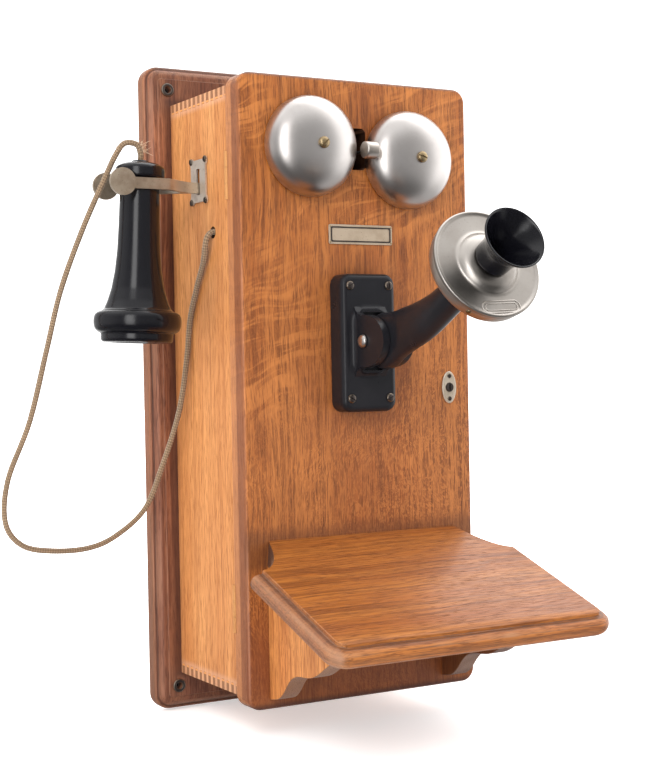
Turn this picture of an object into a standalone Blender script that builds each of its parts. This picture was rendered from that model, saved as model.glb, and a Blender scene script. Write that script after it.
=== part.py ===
"""Antique wooden wall telephone with a crank magneto, hook switch, outside gongs and a hinged door.

Frame: X to the right as the user faces the telephone, Y into the wall, Z up. The origin is the
centre of the backboard's rear face, which lies on the wall. Dimensions below are in millimetres.
"""

from math import cos, pi, radians, sin, sqrt

import bmesh
import bpy
from mathutils import Matrix, Vector

MM = 0.001
GAP = 0.3

# backboard
BOARD_W, BOARD_H, BOARD_T = 239.0, 521.0, 18.0
BOARD_CORNER = 13.0
MOUNT_X, MOUNT_Z = 101.0, 241.2
MOUNT_HOLE_R = 2.6

# cabinet
BOX_W = 197.0
BOX_TOP, BOX_BOTTOM = 228.3, -230.8
BOX_REAR = -(BOARD_T + GAP)
BOX_FRONT = -123.3
SIDE_T = 10.0
END_T = 7.5
FINGERS = 13

# door
DOOR_W = 203.4
DOOR_T = 22.0
DOOR_TOP, DOOR_BOTTOM = 234.9, -239.2
DOOR_REAR = BOX_FRONT - GAP
DOOR_FRONT = DOOR_REAR - DOOR_T
DOOR_CORNER = 11.0
HINGE_X, HINGE_Y = -100.9, BOX_FRONT - 0.15
HINGE_R, HINGE_PIN_R = 2.0, 0.9
HINGE_Z = (160.0, -165.0)
HINGE_LEN = 36.0

# gongs and clapper
GONG_R, GONG_H, GONG_WALL = 38.0, 22.5, 1.6
GONG_FULLNESS = 2.4
GONG_RIM_Y = -148.0
GONG_X = {"left": -43.6, "right": 43.1}
GONG_Z = {"left": 181.6, "right": 175.2}
CLAPPER_PIVOT_Z = 122.0
CLAPPER_Z = 179.0
CLAPPER_Y = -164.5
RINGER_Y = -106.0

# transmitter
ARM_X = -2.5
BASE_W, BASE_H, BASE_T = 48.0, 105.0, 18.0
BASE_Z = 33.0
PIVOT_Y, PIVOT_Z = -177.0, 34.0
EAR_REACH, EAR_RISE = 27.4, 19.6
EAR_IN, EAR_OUT = 8.0, 13.7
FACE_CENTRE = (ARM_X, -315.4, 82.7)
FACE_TILT, FACE_TURN = 24.05, -3.0
CUP_DEPTH = 14.2

# writing shelf and its brackets
SHELF_SLOPE = 19.1
SHELF_Z = -113.3
SHELF_T = 17.0
SHELF_FLAT_W, SHELF_FLAT_S = 110.5, 158.5
SHELF_REAR_W = 83.0
SHELF_EAR_S = 45.0
BRACKET_X, BRACKET_T = 84.7, 15.0

# hook and receiver
HOOK_Y, HOOK_Z = -71.0, 156.0
HOOK_H = 8.4
HOOK_PIVOT_X = -68.0
DISC_X, DISC_Z, DISC_R = -170.0, 156.6, 10.3
RECEIVER_X, RECEIVER_LEAN = -148.5, 2.4
CORD_HOLE_Y, CORD_HOLE_Z = -92.5, 120.0
CORD_D = 4.0

# crank and magneto
CRANK_Y, CRANK_Z = -80.0, 12.0
CRANK_R = 50.0
GEAR_TEETH, PINION_TEETH, MODULE = 40, 8, 1.4
ARMATURE_Y = -67.5
LOCK_X, LOCK_Z = 81.2, -2.8


def clear_scene():
    for obj in list(bpy.data.objects):
        bpy.data.objects.remove(obj, do_unlink=True)


def material(name, colour, roughness, metallic=0.0):
    mat = bpy.data.materials.new(name)
    mat.use_nodes = True
    shader = mat.node_tree.nodes["Principled BSDF"]
    shader.inputs["Base Color"].default_value = (*colour, 1.0)
    shader.inputs["Roughness"].default_value = roughness
    shader.inputs["Metallic"].default_value = metallic
    return mat


WOOD = {
    "back": ((0.20, 0.075, 0.035), 0.45),
    "side": ((0.62, 0.33, 0.13), 0.42),
    "end": ((0.55, 0.28, 0.11), 0.45),
    "door": ((0.46, 0.19, 0.065), 0.38),
    "shelf": ((0.48, 0.21, 0.07), 0.40),
    "bracket": ((0.66, 0.34, 0.12), 0.42),
    "inner": ((0.42, 0.26, 0.13), 0.6),
}
METAL = {
    "nickel": ((0.60, 0.58, 0.55), 0.28),
    "worn": ((0.42, 0.38, 0.32), 0.42),
    "brass": ((0.62, 0.45, 0.20), 0.35),
    "steel": ((0.36, 0.36, 0.36), 0.40),
    "ivory": ((0.70, 0.66, 0.52), 0.35),
}
DARK = {
    "japan": ((0.022, 0.020, 0.022), 0.30),
    "bakelite": ((0.010, 0.010, 0.012), 0.18),
    "magnet": ((0.09, 0.02, 0.02), 0.5),
    "coil": ((0.16, 0.07, 0.03), 0.55),
    "cell": ((0.30, 0.28, 0.24), 0.8),
    "cloth": ((0.36, 0.27, 0.16), 0.9),
}


def finish(obj, look):
    """Give the object its own material in one of the looks above."""
    if look in METAL:
        colour, roughness = METAL[look]
        metallic = 1.0
    else:
        colour, roughness = WOOD[look] if look in WOOD else DARK[look]
        metallic = 0.0
    obj.data.materials.clear()
    obj.data.materials.append(material(obj.name, colour, roughness, metallic))
    return obj


def add_mesh(name, bm, look=None, origin=(0, 0, 0), smooth=False):
    """Make an object from a bmesh in millimetres, with its origin at the given point."""
    bm.normal_update()
    bmesh.ops.recalc_face_normals(bm, faces=bm.faces)
    if bm.calc_volume(signed=True) < 0:
        bmesh.ops.reverse_faces(bm, faces=bm.faces)
    bmesh.ops.translate(bm, verts=bm.verts, vec=-Vector(origin))
    bmesh.ops.scale(bm, verts=bm.verts, vec=(MM, MM, MM))
    for face in bm.faces:
        face.smooth = smooth
    mesh = bpy.data.meshes.new(name)
    bm.to_mesh(mesh)
    bm.free()
    obj = bpy.data.objects.new(name, mesh)
    obj.location = Vector(origin) * MM
    bpy.context.collection.objects.link(obj)
    return finish(obj, look) if look else obj


def loft(loops, ring=False):
    """Skin a row of loops with the same number of points. A ring joins its last loop to its first."""
    bm = bmesh.new()
    rows = [[bm.verts.new(p) for p in loop] for loop in loops]
    pairs = list(zip(rows, rows[1:]))
    if ring:
        pairs.append((rows[-1], rows[0]))
    for low, high in pairs:
        for i in range(len(low)):
            j = (i + 1) % len(low)
            bm.faces.new((low[i], low[j], high[j], high[i]))
    if not ring:
        bm.faces.new(rows[0])
        bm.faces.new(rows[-1])
    return bm


def revolve(profile, place, segments=32):
    """Turn (radius, height) points about the local Z axis. A profile off the axis gives a ring."""
    solid = profile[0][0] < 1e-6
    body = profile[1:-1] if solid else profile
    loops = [
        [
            (r * cos(2 * pi * i / segments), r * sin(2 * pi * i / segments), h)
            for i in range(segments)
        ]
        for r, h in body
    ]
    bm = loft(loops, ring=not solid)
    if solid:
        bmesh.ops.delete(bm, geom=[f for f in bm.faces if len(f.verts) > 4], context="FACES_ONLY")
        bm.verts.ensure_lookup_table()
        for end, first in ((profile[0], 0), (profile[-1], len(bm.verts) - segments)):
            tip = bm.verts.new((0, 0, end[1]))
            bm.verts.ensure_lookup_table()
            for i in range(segments):
                bm.faces.new((bm.verts[first + i], bm.verts[first + (i + 1) % segments], tip))
    bm.transform(place)
    return bm


def prism(outline, axis, low, high):
    """Extrude a 2-D outline along X, Y or Z. The outline's pair is the other two axes in order."""
    others = [i for i in range(3) if i != axis]

    def point(pair, level):
        out = [0.0, 0.0, 0.0]
        out[axis] = level
        out[others[0]], out[others[1]] = pair
        return out

    return loft([[point(p, low) for p in outline], [point(p, high) for p in outline]])


def box(x0, x1, y0, y1, z0, z1):
    return prism([(y0, z0), (y1, z0), (y1, z1), (y0, z1)], 0, x0, x1)


def rod(start, end, radius, segments=16):
    """A plain cylinder between two points."""
    start, end = Vector(start), Vector(end)
    place = Matrix.Translation(start) @ (end - start).to_track_quat("Z", "Y").to_matrix().to_4x4()
    length = (end - start).length
    return revolve([(0, 0), (radius, 0), (radius, length), (0, length)], place, segments)


def arc(centre, radius, first, last, count):
    """Points on a circle, angles in degrees."""
    angles = [radians(first + (last - first) * i / count) for i in range(count + 1)]
    return [(centre[0] + radius * cos(a), centre[1] + radius * sin(a)) for a in angles]


def rounded_rect(x0, x1, z0, z1, radius, count=4):
    out = []
    corners = ((x1, z1, -1, -1, 0), (x0, z1, 1, -1, 90), (x0, z0, 1, 1, 180), (x1, z0, -1, 1, 270))
    for x, z, sx, sz, first in corners:
        out += arc((x + sx * radius, z + sz * radius), radius, first, first + 90, count)
    return out


def stepped_board(x0, x1, z0, z1, corner, y_rear, levels):
    """A board whose edge moulding is a row of (inset, depth in front of the rear face) levels."""
    loops = []
    for inset, depth in levels:
        radius = max(corner - inset, 1.5)
        outline = rounded_rect(x0 + inset, x1 - inset, z0 + inset, z1 - inset, radius)
        loops.append([(x, y_rear - depth, z) for x, z in outline])
    return loft(loops)


def boolean(obj, cutter_bm, name, operation="DIFFERENCE"):
    """Cut or join with a hidden tool body."""
    tool = add_mesh(name, cutter_bm)
    tool.hide_render = True
    tool.display_type = "WIRE"
    mod = obj.modifiers.new(name, "BOOLEAN")
    mod.operation = operation
    mod.solver = "EXACT"
    mod.object = tool
    return obj


def along(axis_point, direction):
    """A placement with its local Z along the direction."""
    turn = Vector(direction).to_track_quat("Z", "Y").to_matrix().to_4x4()
    return Matrix.Translation(axis_point) @ turn


def smooth_path(points, step):
    """Points at even steps along a smooth curve through the route points."""
    pts = [Vector(p) for p in points]
    ends = [pts[0] * 2 - pts[1]] + pts + [pts[-1] * 2 - pts[-2]]
    fine = []
    for a, b, c, d in zip(ends, ends[1:], ends[2:], ends[3:]):
        for i in range(24):
            t = i / 24
            fine.append(
                0.5 * (2 * b + (c - a) * t + (2 * a - 5 * b + 4 * c - d) * t * t
                       + (3 * b - a - 3 * c + d) * t ** 3)
            )
    fine.append(pts[-1])
    lengths = [0.0]
    for a, b in zip(fine, fine[1:]):
        lengths.append(lengths[-1] + (b - a).length)
    count = round(lengths[-1] / step)
    out, j = [], 0
    for i in range(count + 1):
        target = lengths[-1] * i / count
        while j < len(fine) - 2 and lengths[j + 1] < target:
            j += 1
        span = lengths[j + 1] - lengths[j]
        out.append(fine[j].lerp(fine[j + 1], (target - lengths[j]) / span))
    return out


def tube(name, points, radius, look, resolution=2):
    """A tube with filled ends along the points."""
    curve = bpy.data.curves.new(name, "CURVE")
    curve.dimensions = "3D"
    curve.bevel_depth = radius * MM
    curve.bevel_resolution = resolution
    curve.use_fill_caps = True
    curve.render_resolution_u = 0
    spline = curve.splines.new("POLY")
    spline.points.add(len(points) - 1)
    for target, point in zip(spline.points, points):
        target.co = (*(Vector(point) * MM), 1.0)
    obj = bpy.data.objects.new(name, curve)
    bpy.context.collection.objects.link(obj)
    return finish(obj, look)


def build_backboard():
    levels = [(0.8, 0), (0, 0.8), (0, 10.6), (0.8, 12.0), (3.2, 12.6), (3.4, 13.4), (4.6, 15.2),
              (6.8, 16.6), (9.8, 17.1), (10.6, 17.2), (10.8, BOARD_T)]
    board = add_mesh("backboard", stepped_board(-BOARD_W / 2, BOARD_W / 2, -BOARD_H / 2,
                                                BOARD_H / 2, BOARD_CORNER, 0, levels), "back")
    for ix, sx in enumerate((-1, 1)):
        for iz, sz in enumerate((1, -1)):
            x, z = sx * MOUNT_X, sz * MOUNT_Z
            boolean(board, rod((x, 5, z), (x, -30, z), MOUNT_HOLE_R), f"mount_drill_{ix}{iz}")
            profile = [(MOUNT_HOLE_R, 0), (5.4, 0), (5.3, 0.6), (4.4, 1.1), (3.0, 1.2)]
            add_mesh(f"wall_grommet_{2 * iz + ix + 1}",
                     revolve(profile, along((x, BOX_REAR, z), (0, -1, 0)), 16), "nickel",
                     smooth=True)


def finger_spans(reach):
    """Depth spans of the corner joint's fingers, wider or narrower by the given amount."""
    pitch = (BOX_REAR - BOX_FRONT) / FINGERS
    return [
        (BOX_REAR - (k + 0.25) * pitch + reach, BOX_REAR - (k + 0.75) * pitch - reach)
        for k in range(FINGERS)
    ]


def build_cabinet():
    half = BOX_W / 2
    notch = [(BOX_REAR, BOX_TOP)]
    for a, b in finger_spans(0.15):
        notch += [(a, BOX_TOP), (a, BOX_TOP - END_T - GAP), (b, BOX_TOP - END_T - GAP), (b, BOX_TOP)]
    notch += [(BOX_FRONT, BOX_TOP), (BOX_FRONT, BOX_BOTTOM)]
    for a, b in reversed(finger_spans(0.15)):
        notch += [(b, BOX_BOTTOM), (b, BOX_BOTTOM + END_T + GAP), (a, BOX_BOTTOM + END_T + GAP),
                  (a, BOX_BOTTOM)]
    notch += [(BOX_REAR, BOX_BOTTOM)]
    left = add_mesh("cabinet_left_side", prism(notch, 0, -half, -half + SIDE_T), "side")
    right = add_mesh("cabinet_right_side", prism(notch, 0, half - SIDE_T, half), "side")
    boolean(left, box(-half - 5, -half + SIDE_T + 5, HOOK_Y - 4, HOOK_Y + 4, 147, 174), "hook_cut")
    boolean(left, rod((-half - 5, CORD_HOLE_Y, CORD_HOLE_Z),
                      (-half + SIDE_T + 5, CORD_HOLE_Y, CORD_HOLE_Z), 4.7, 20), "cord_drill")
    boolean(right, rod((half + 5, CRANK_Y, CRANK_Z), (half - SIDE_T - 5, CRANK_Y, CRANK_Z), 6.5, 20),
            "crank_drill")
    boolean(right, box(half - SIDE_T - 5, half - 2.5, DOOR_REAR + 0.8, DOOR_REAR + 8.6,
                       LOCK_Z - 13, LOCK_Z + 7), "lock_mortise")
    for level, low in (("top", BOX_TOP - END_T), ("bottom", BOX_BOTTOM)):
        edge = []
        inner, outer = half - SIDE_T - 0.2, half
        for a, b in finger_spans(0):
            edge += [(inner, a), (outer, a), (outer, b), (inner, b)]
        mirrored = [(-x, y) for x, y in reversed(edge)]
        outline = [(inner, BOX_REAR)] + edge + [(inner, BOX_FRONT), (-inner, BOX_FRONT)]
        outline += mirrored + [(-inner, BOX_REAR)]
        add_mesh(f"cabinet_{level}", prism(outline, 2, low, low + END_T), "end")
    add_mesh("battery_shelf", box(-88.2, 88.2, -108, BOX_REAR - GAP, -50, -45), "inner")


def hinge_half(name, side, z, knuckles, origin=(0, 0, 0)):
    """One leaf of a butt hinge with its knuckles: side +1 is the cabinet's, -1 the door's."""
    edge_y = BOX_FRONT if side > 0 else DOOR_REAR
    leaf_y = sorted((edge_y, edge_y + side * 1.2))
    leaf = box(HINGE_X + 1.4, HINGE_X + 10.0, leaf_y[0], leaf_y[1], z - HINGE_LEN / 2,
               z + HINGE_LEN / 2)
    obj = add_mesh(name, leaf, "brass", origin=origin)
    for i, (low, high) in enumerate(knuckles):
        barrel = rod((HINGE_X, HINGE_Y, z + low), (HINGE_X, HINGE_Y, z + high), HINGE_R, 16)
        boolean(obj, barrel, f"{name}_barrel_{i}", "UNION")
    return obj


def build_hinges(door):
    half = HINGE_LEN / 2
    sides = bpy.data.objects["cabinet_left_side"]
    for i, z in enumerate(HINGE_Z):
        place = ("upper", "lower")[i]
        # the fixed half carries the outer knuckles and the pin, the door half the middle one
        fixed = hinge_half(f"hinge_{place}_cabinet", 1, z, [(6.2, half), (-half, -6.2)])
        pin = rod((HINGE_X, HINGE_Y, z - half + 1), (HINGE_X, HINGE_Y, z + half - 1), HINGE_PIN_R, 12)
        clear_mid = box(HINGE_X - 4, HINGE_X + 4, HINGE_Y - 4, HINGE_Y + 4, z - 6.2, z + 6.2)
        boolean(fixed, clear_mid, f"hinge_{place}_clear_mid", "DIFFERENCE")
        boolean(fixed, pin, f"hinge_{place}_pin", "UNION")
        swing = hinge_half(f"hinge_{place}_door", -1, z, [(-5.9, 5.9)],
                           origin=(HINGE_X, HINGE_Y, z))
        for end, (low, high) in enumerate(((5.9, half + 1), (-half - 1, -5.9))):
            clear_end = box(HINGE_X - 4, HINGE_X + 4, HINGE_Y - 4, HINGE_Y + 4, z + low, z + high)
            boolean(swing, clear_end, f"hinge_{place}_clear_{end}", "DIFFERENCE")
        bore = rod((HINGE_X, HINGE_Y, z - 9), (HINGE_X, HINGE_Y, z + 9), HINGE_PIN_R + 0.25, 12)
        boolean(swing, bore, f"hinge_{place}_bore", "DIFFERENCE")
        long_half = half + 0.4
        boolean(door, box(HINGE_X - 6, HINGE_X + 2.5, DOOR_REAR - 2.6, DOOR_REAR + 4, z - long_half,
                          z + long_half), f"door_barrel_cut_{i}", "DIFFERENCE")
        boolean(door, box(HINGE_X, HINGE_X + 10.4, DOOR_REAR - 1.5, DOOR_REAR + 4, z - long_half,
                          z + long_half), f"door_leaf_cut_{i}", "DIFFERENCE")
        boolean(sides, box(HINGE_X - 4, HINGE_X + 2.9, BOX_FRONT + 2.4, BOX_FRONT - 4,
                           z - long_half, z + long_half), f"side_barrel_cut_{i}", "DIFFERENCE")
        boolean(sides, box(HINGE_X, HINGE_X + 10.4, BOX_FRONT + 1.5, BOX_FRONT - 4, z - long_half,
                           z + long_half), f"side_leaf_cut_{i}", "DIFFERENCE")


def build_door():
    levels = [(1.0, 0), (0, 1.0), (0, 19.4), (0.5, 21.0), (1.6, 21.8), (2.8, DOOR_T)]
    body = stepped_board(-DOOR_W / 2, DOOR_W / 2, DOOR_BOTTOM, DOOR_TOP, DOOR_CORNER, DOOR_REAR,
                         levels)
    door = add_mesh("door", body, "door", origin=(HINGE_X, HINGE_Y, 0))
    slot = rounded_rect(-7.5, 7.5, 166, 198, 3.0, 3)
    boolean(door, prism(slot, 1, DOOR_FRONT - 5, DOOR_REAR + 5), "clapper_slot")
    boolean(door, rod((LOCK_X, DOOR_FRONT - 5, LOCK_Z), (LOCK_X, DOOR_REAR + 5, LOCK_Z), 3.8, 20),
            "lock_drill")
    build_hinges(door)

    plate = rounded_rect(-27.0, 29.6, 108.9, 123.8, 1.2, 2)
    add_mesh("nameplate", prism(plate, 1, DOOR_FRONT - GAP - 0.8, DOOR_FRONT - GAP), "brass")

    count = 20
    oval = [(LOCK_X + 6.7 * sin(2 * pi * i / count), LOCK_Z + 12.7 * cos(2 * pi * i / count))
            for i in range(count)]
    inner = [(LOCK_X + 6.0 * sin(2 * pi * i / count), LOCK_Z + 12.0 * cos(2 * pi * i / count))
             for i in range(count)]
    back = DOOR_FRONT - GAP
    escutcheon = loft([[(x, back, z) for x, z in oval], [(x, back - 0.6, z) for x, z in oval],
                       [(x, back - 1.2, z) for x, z in inner]])
    plate = add_mesh("lock_escutcheon", escutcheon, "ivory")
    boolean(plate, rod((LOCK_X, back + 5, LOCK_Z), (LOCK_X, back - 5, LOCK_Z), 3.8, 20),
            "escutcheon_drill")

    spindle = rod((LOCK_X, DOOR_REAR + 3.4, LOCK_Z), (LOCK_X, back - 1.6, LOCK_Z), 3.4, 20)
    lock = add_mesh("lock_bolt", spindle, "brass", origin=(LOCK_X, DOOR_REAR, LOCK_Z))
    cam = arc((LOCK_X, LOCK_Z), 4.6, 0, 180, 8) + arc((LOCK_X, LOCK_Z - 8), 3.6, 180, 360, 8)
    boolean(lock, prism(cam, 1, DOOR_REAR + 2.2, DOOR_REAR + 5.4), "lock_cam", "UNION")
    boolean(lock, box(LOCK_X - 3.6, LOCK_X + 3.6, back - 3, back - 0.7, LOCK_Z - 0.5, LOCK_Z + 0.5),
            "key_slot")


def dome(radius, height, count):
    """Points from the rim up to the crown of a dome fuller than an ellipse."""
    power = 2 / GONG_FULLNESS
    return [(radius * abs(cos(a)) ** power, height * sin(a) ** power)
            for a in (radians(90 * i / count) for i in range(count + 1))]


def build_bells():
    crown_y = GONG_RIM_Y - GONG_H
    for side in ("left", "right"):
        x, z = GONG_X[side], GONG_Z[side]
        hole = 2.6
        outer = [p for p in dome(GONG_R, GONG_H, 9) if p[0] > hole + 1] + [(hole, GONG_H)]
        inner = [p for p in dome(GONG_R - GONG_WALL, GONG_H - GONG_WALL, 6) if p[0] > hole + 1]
        inner += [(hole, GONG_H - GONG_WALL)]
        profile = outer + inner[::-1]
        place = along((x, GONG_RIM_Y, z), (0, -1, 0))
        add_mesh(f"gong_{side}", revolve(profile, place, 32), "nickel", smooth=True)
        base = DOOR_FRONT - GAP
        top = crown_y + GONG_WALL + GAP
        length = base - top
        post = [(0, 0), (8.0, 0), (8.0, 2.4), (5.4, 3.2), (5.4, length), (2.2, length),
                (2.2, length - 9), (0, length - 9)]
        add_mesh(f"gong_post_{side}", revolve(post, along((x, base, z), (0, -1, 0)), 14), "nickel",
                 smooth=False)
        head = crown_y - GAP
        screw = [(0, 0), (1.9, 0), (1.9, 9.5), (4.6, 9.5), (4.5, 10.6), (3.2, 11.8), (1.4, 12.3),
                 (0, 12.4)]
        add_mesh(f"gong_screw_{side}",
                 revolve(screw, along((x, head + 9.5, z), (0, -1, 0)), 12), "brass")
    # polarised ringer on the inside of the door
    add_mesh("ringer_frame", box(-42, 42, DOOR_REAR + GAP, DOOR_REAR + 3.3, 70, 158), "steel")
    boolean(bpy.data.objects["ringer_frame"], box(-9, 9, DOOR_REAR - 5, DOOR_REAR + 9, 108, 170),
            "ringer_window")
    for side, x in (("left", -20), ("right", 20)):
        profile = [(0, 0), (12, 0), (12, 2), (10.5, 2), (10.5, 34), (12, 34), (12, 36), (4, 36),
                   (4, 39), (0, 39)]
        add_mesh(f"ringer_coil_{side}", revolve(profile, along((x, RINGER_Y, 76), (0, 0, 1)), 14),
                 "coil")
    yoke = box(-34, 34, DOOR_REAR + 2, RINGER_Y + 10, 71, 75.7)
    boolean(bpy.data.objects["ringer_frame"], yoke, "ringer_yoke", "UNION")

    pivot = (0, RINGER_Y, CLAPPER_PIVOT_Z)
    armature = add_mesh("ringer_armature",
                        box(-30, 30, RINGER_Y - 4, RINGER_Y + 4, CLAPPER_PIVOT_Z - 1.6,
                            CLAPPER_PIVOT_Z + 1.6), "steel", origin=pivot)
    stem = [(0, RINGER_Y, CLAPPER_PIVOT_Z + 1.9)]
    stem += [(0, RINGER_Y, CLAPPER_Z - 6)]
    stem += [(0, RINGER_Y - 6 + y, CLAPPER_Z - 6 + z)
             for y, z in ((6 * cos(a), 6 * sin(a)) for a in (pi / 8, pi / 4, 3 * pi / 8))]
    stem += [(0, RINGER_Y - 6, CLAPPER_Z), (0, CLAPPER_Y + 6.9, CLAPPER_Z)]
    tube("clapper_rod", stem, 1.3, "steel")
    barrel = [(0, 0), (5.6, 0), (6.6, 0.9), (6.6, 10.1), (5.6, 11), (0, 11)]
    add_mesh("clapper", revolve(barrel, along((-5.5, CLAPPER_Y, CLAPPER_Z), (1, 0, 0)), 20),
             "nickel", origin=pivot, smooth=False)
    return armature


def face_axis():
    tilt, turn = radians(FACE_TILT), radians(FACE_TURN)
    return Vector((sin(turn) * cos(tilt), -cos(turn) * cos(tilt), sin(tilt)))


def build_transmitter():
    x0, x1 = ARM_X - BASE_W / 2, ARM_X + BASE_W / 2
    z0, z1 = BASE_Z - BASE_H / 2, BASE_Z + BASE_H / 2
    levels = [(0, GAP), (0, BASE_T - 4.2), (0.8, BASE_T - 1.8), (2.4, BASE_T - 0.4), (4.2, BASE_T)]
    base = add_mesh("transmitter_base", stepped_board(x0, x1, z0, z1, 8.5, DOOR_FRONT, levels),
                    "japan")
    plate_y = DOOR_FRONT - BASE_T
    # each ear is a half ellipse round the pivot that flares into the plate
    flare = [(plate_y + 3, 29.0), (plate_y - 0.6, 26.0), (plate_y - 2.6, 22.6),
             (plate_y - 6.0, 20.2)]
    nose = [(PIVOT_Y + EAR_REACH * cos(radians(a)), EAR_RISE * sin(radians(a)))
            for a in range(82, 279, 14)]
    ear = [(y, PIVOT_Z + z) for y, z in flare + nose + [(y, -z) for y, z in reversed(flare)]]
    for side, sign in (("left", -1), ("right", 1)):
        low, high = sorted((ARM_X + sign * EAR_IN, ARM_X + sign * EAR_OUT))
        boolean(base, prism(ear, 0, low, high), f"base_ear_{side}", "UNION")
    bolt_hole = rod((ARM_X - 30, PIVOT_Y, PIVOT_Z), (ARM_X + 30, PIVOT_Y, PIVOT_Z), 3.3, 16)
    boolean(base, bolt_hole, "base_bolt_hole")

    length = 2 * EAR_OUT + 2 * GAP
    bolt = [(0, 0), (3.2, 0.2), (4.8, 1.6), (5.2, 3.4), (3.0, 3.4), (3.0, 3.4 + length),
            (5.0, 3.4 + length), (5.0, 6.2 + length), (0, 6.2 + length)]
    start = ARM_X - EAR_OUT - GAP - 3.4
    add_mesh("arm_bolt", revolve(bolt, along((start, PIVOT_Y, PIVOT_Z), (1, 0, 0)), 16), "nickel")

    axis = face_axis()
    centre = Vector(FACE_CENTRE)
    back = centre - axis * CUP_DEPTH
    sections = [(-165.6, 34.0, 3.6, 6.2), (-168.5, 34.0, 8.0, 7.7), (-174, 34.0, 14.0, 7.7),
                (-183, 34.0, 20.2, 7.7), (-193, 34.2, 20.2, 7.7), (-206, 38.5, 17.4, 7.7),
                (-219, 42.2, 15.9, 9.6), (-232, 45.6, 14.8, 10.5), (-245, 49.8, 13.7, 10.8),
                (-258, 55.2, 12.3, 10.8), (-272, 62.0, 11.4, 10.8)]
    loops = []
    count = 20
    for y, z, tall, wide in sections:
        blend = min(max((-195 - y) / 30, 0), 1)
        loop = []
        for i in range(count):
            a = 2 * pi * i / count
            power = 0.45 + 0.55 * blend
            cx = abs(cos(a)) ** power * (1 if cos(a) >= 0 else -1)
            sz = abs(sin(a)) ** power * (1 if sin(a) >= 0 else -1)
            lean = 0.30 * blend
            loop.append((ARM_X + wide * cx, y + lean * tall * sz, z + tall * sz))
        loops.append(loop)
    side = Vector((0, 0, 1)).cross(axis).normalized()
    up = axis.cross(side)
    for off in (10.0, GAP + 3.2, GAP + 3.0, GAP):
        r = 10.6 if off > GAP + 3.1 else 15.0
        ring = back - axis * off
        loops.append([tuple(ring + side * (r * cos(2 * pi * i / count))
                            + up * (r * sin(2 * pi * i / count))) for i in range(count)])
    arm = add_mesh("transmitter_arm", loft(loops), "japan", origin=(ARM_X, PIVOT_Y, PIVOT_Z),
                   smooth=False)
    boolean(arm, rod((ARM_X - 30, PIVOT_Y, PIVOT_Z), (ARM_X + 30, PIVOT_Y, PIVOT_Z), 3.3, 16),
            "arm_bolt_hole")

    place = along(centre, axis)
    pivot = (ARM_X, PIVOT_Y, PIVOT_Z)
    d = CUP_DEPTH
    cup = [(0, -d), (32, -d), (36.5, 2 - d), (39.0, 4.8 - d), (39.4, 8 - d), (39.4, -2.1),
           (37.4, -2.1), (37.2, 6.4 - d), (34.6, 3.2 - d), (0, 2.2 - d)]
    add_mesh("transmitter_cup", revolve(cup, place, 28), "nickel", origin=pivot, smooth=False)
    face = [(9.3, 6.2), (9.3, 7.0), (13.6, 7.0), (16.5, 6.5), (19.4, 5.2), (21.6, 3.0), (22.8, 1.2),
            (24.4, 0.5), (37.6, 0.3), (39.2, 0.7), (40.2, 0.2), (40.3, -1.8), (24.0, -1.2),
            (21.4, 0.6), (18.6, 3.8), (15.8, 5.2)]
    add_mesh("transmitter_face", revolve(face, place, 28), "nickel", origin=pivot, smooth=True)
    mouth = [(5.6, 7.3), (13.2, 7.3), (13.4, 9.8), (13.4, 13.5), (13.9, 18.5), (15.4, 24.2),
             (18.2, 29.8), (21.2, 34.3), (22.3, 36.4), (22.3, 37.4), (21.2, 37.4), (19.2, 34.6),
             (15.2, 29.4), (11.2, 23.5), (8.0, 17.5), (6.2, 12.0)]
    add_mesh("mouthpiece", revolve(mouth, place, 24), "bakelite", origin=pivot, smooth=True)
    capsule = [(0, 3.0 - d), (11, 3.0 - d), (11, 9 - d), (30, 9 - d), (30, 10 - d), (8, 11.4 - d),
               (0, 11.4 - d)]
    add_mesh("carbon_capsule", revolve(capsule, place, 16), "brass", origin=pivot)


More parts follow.
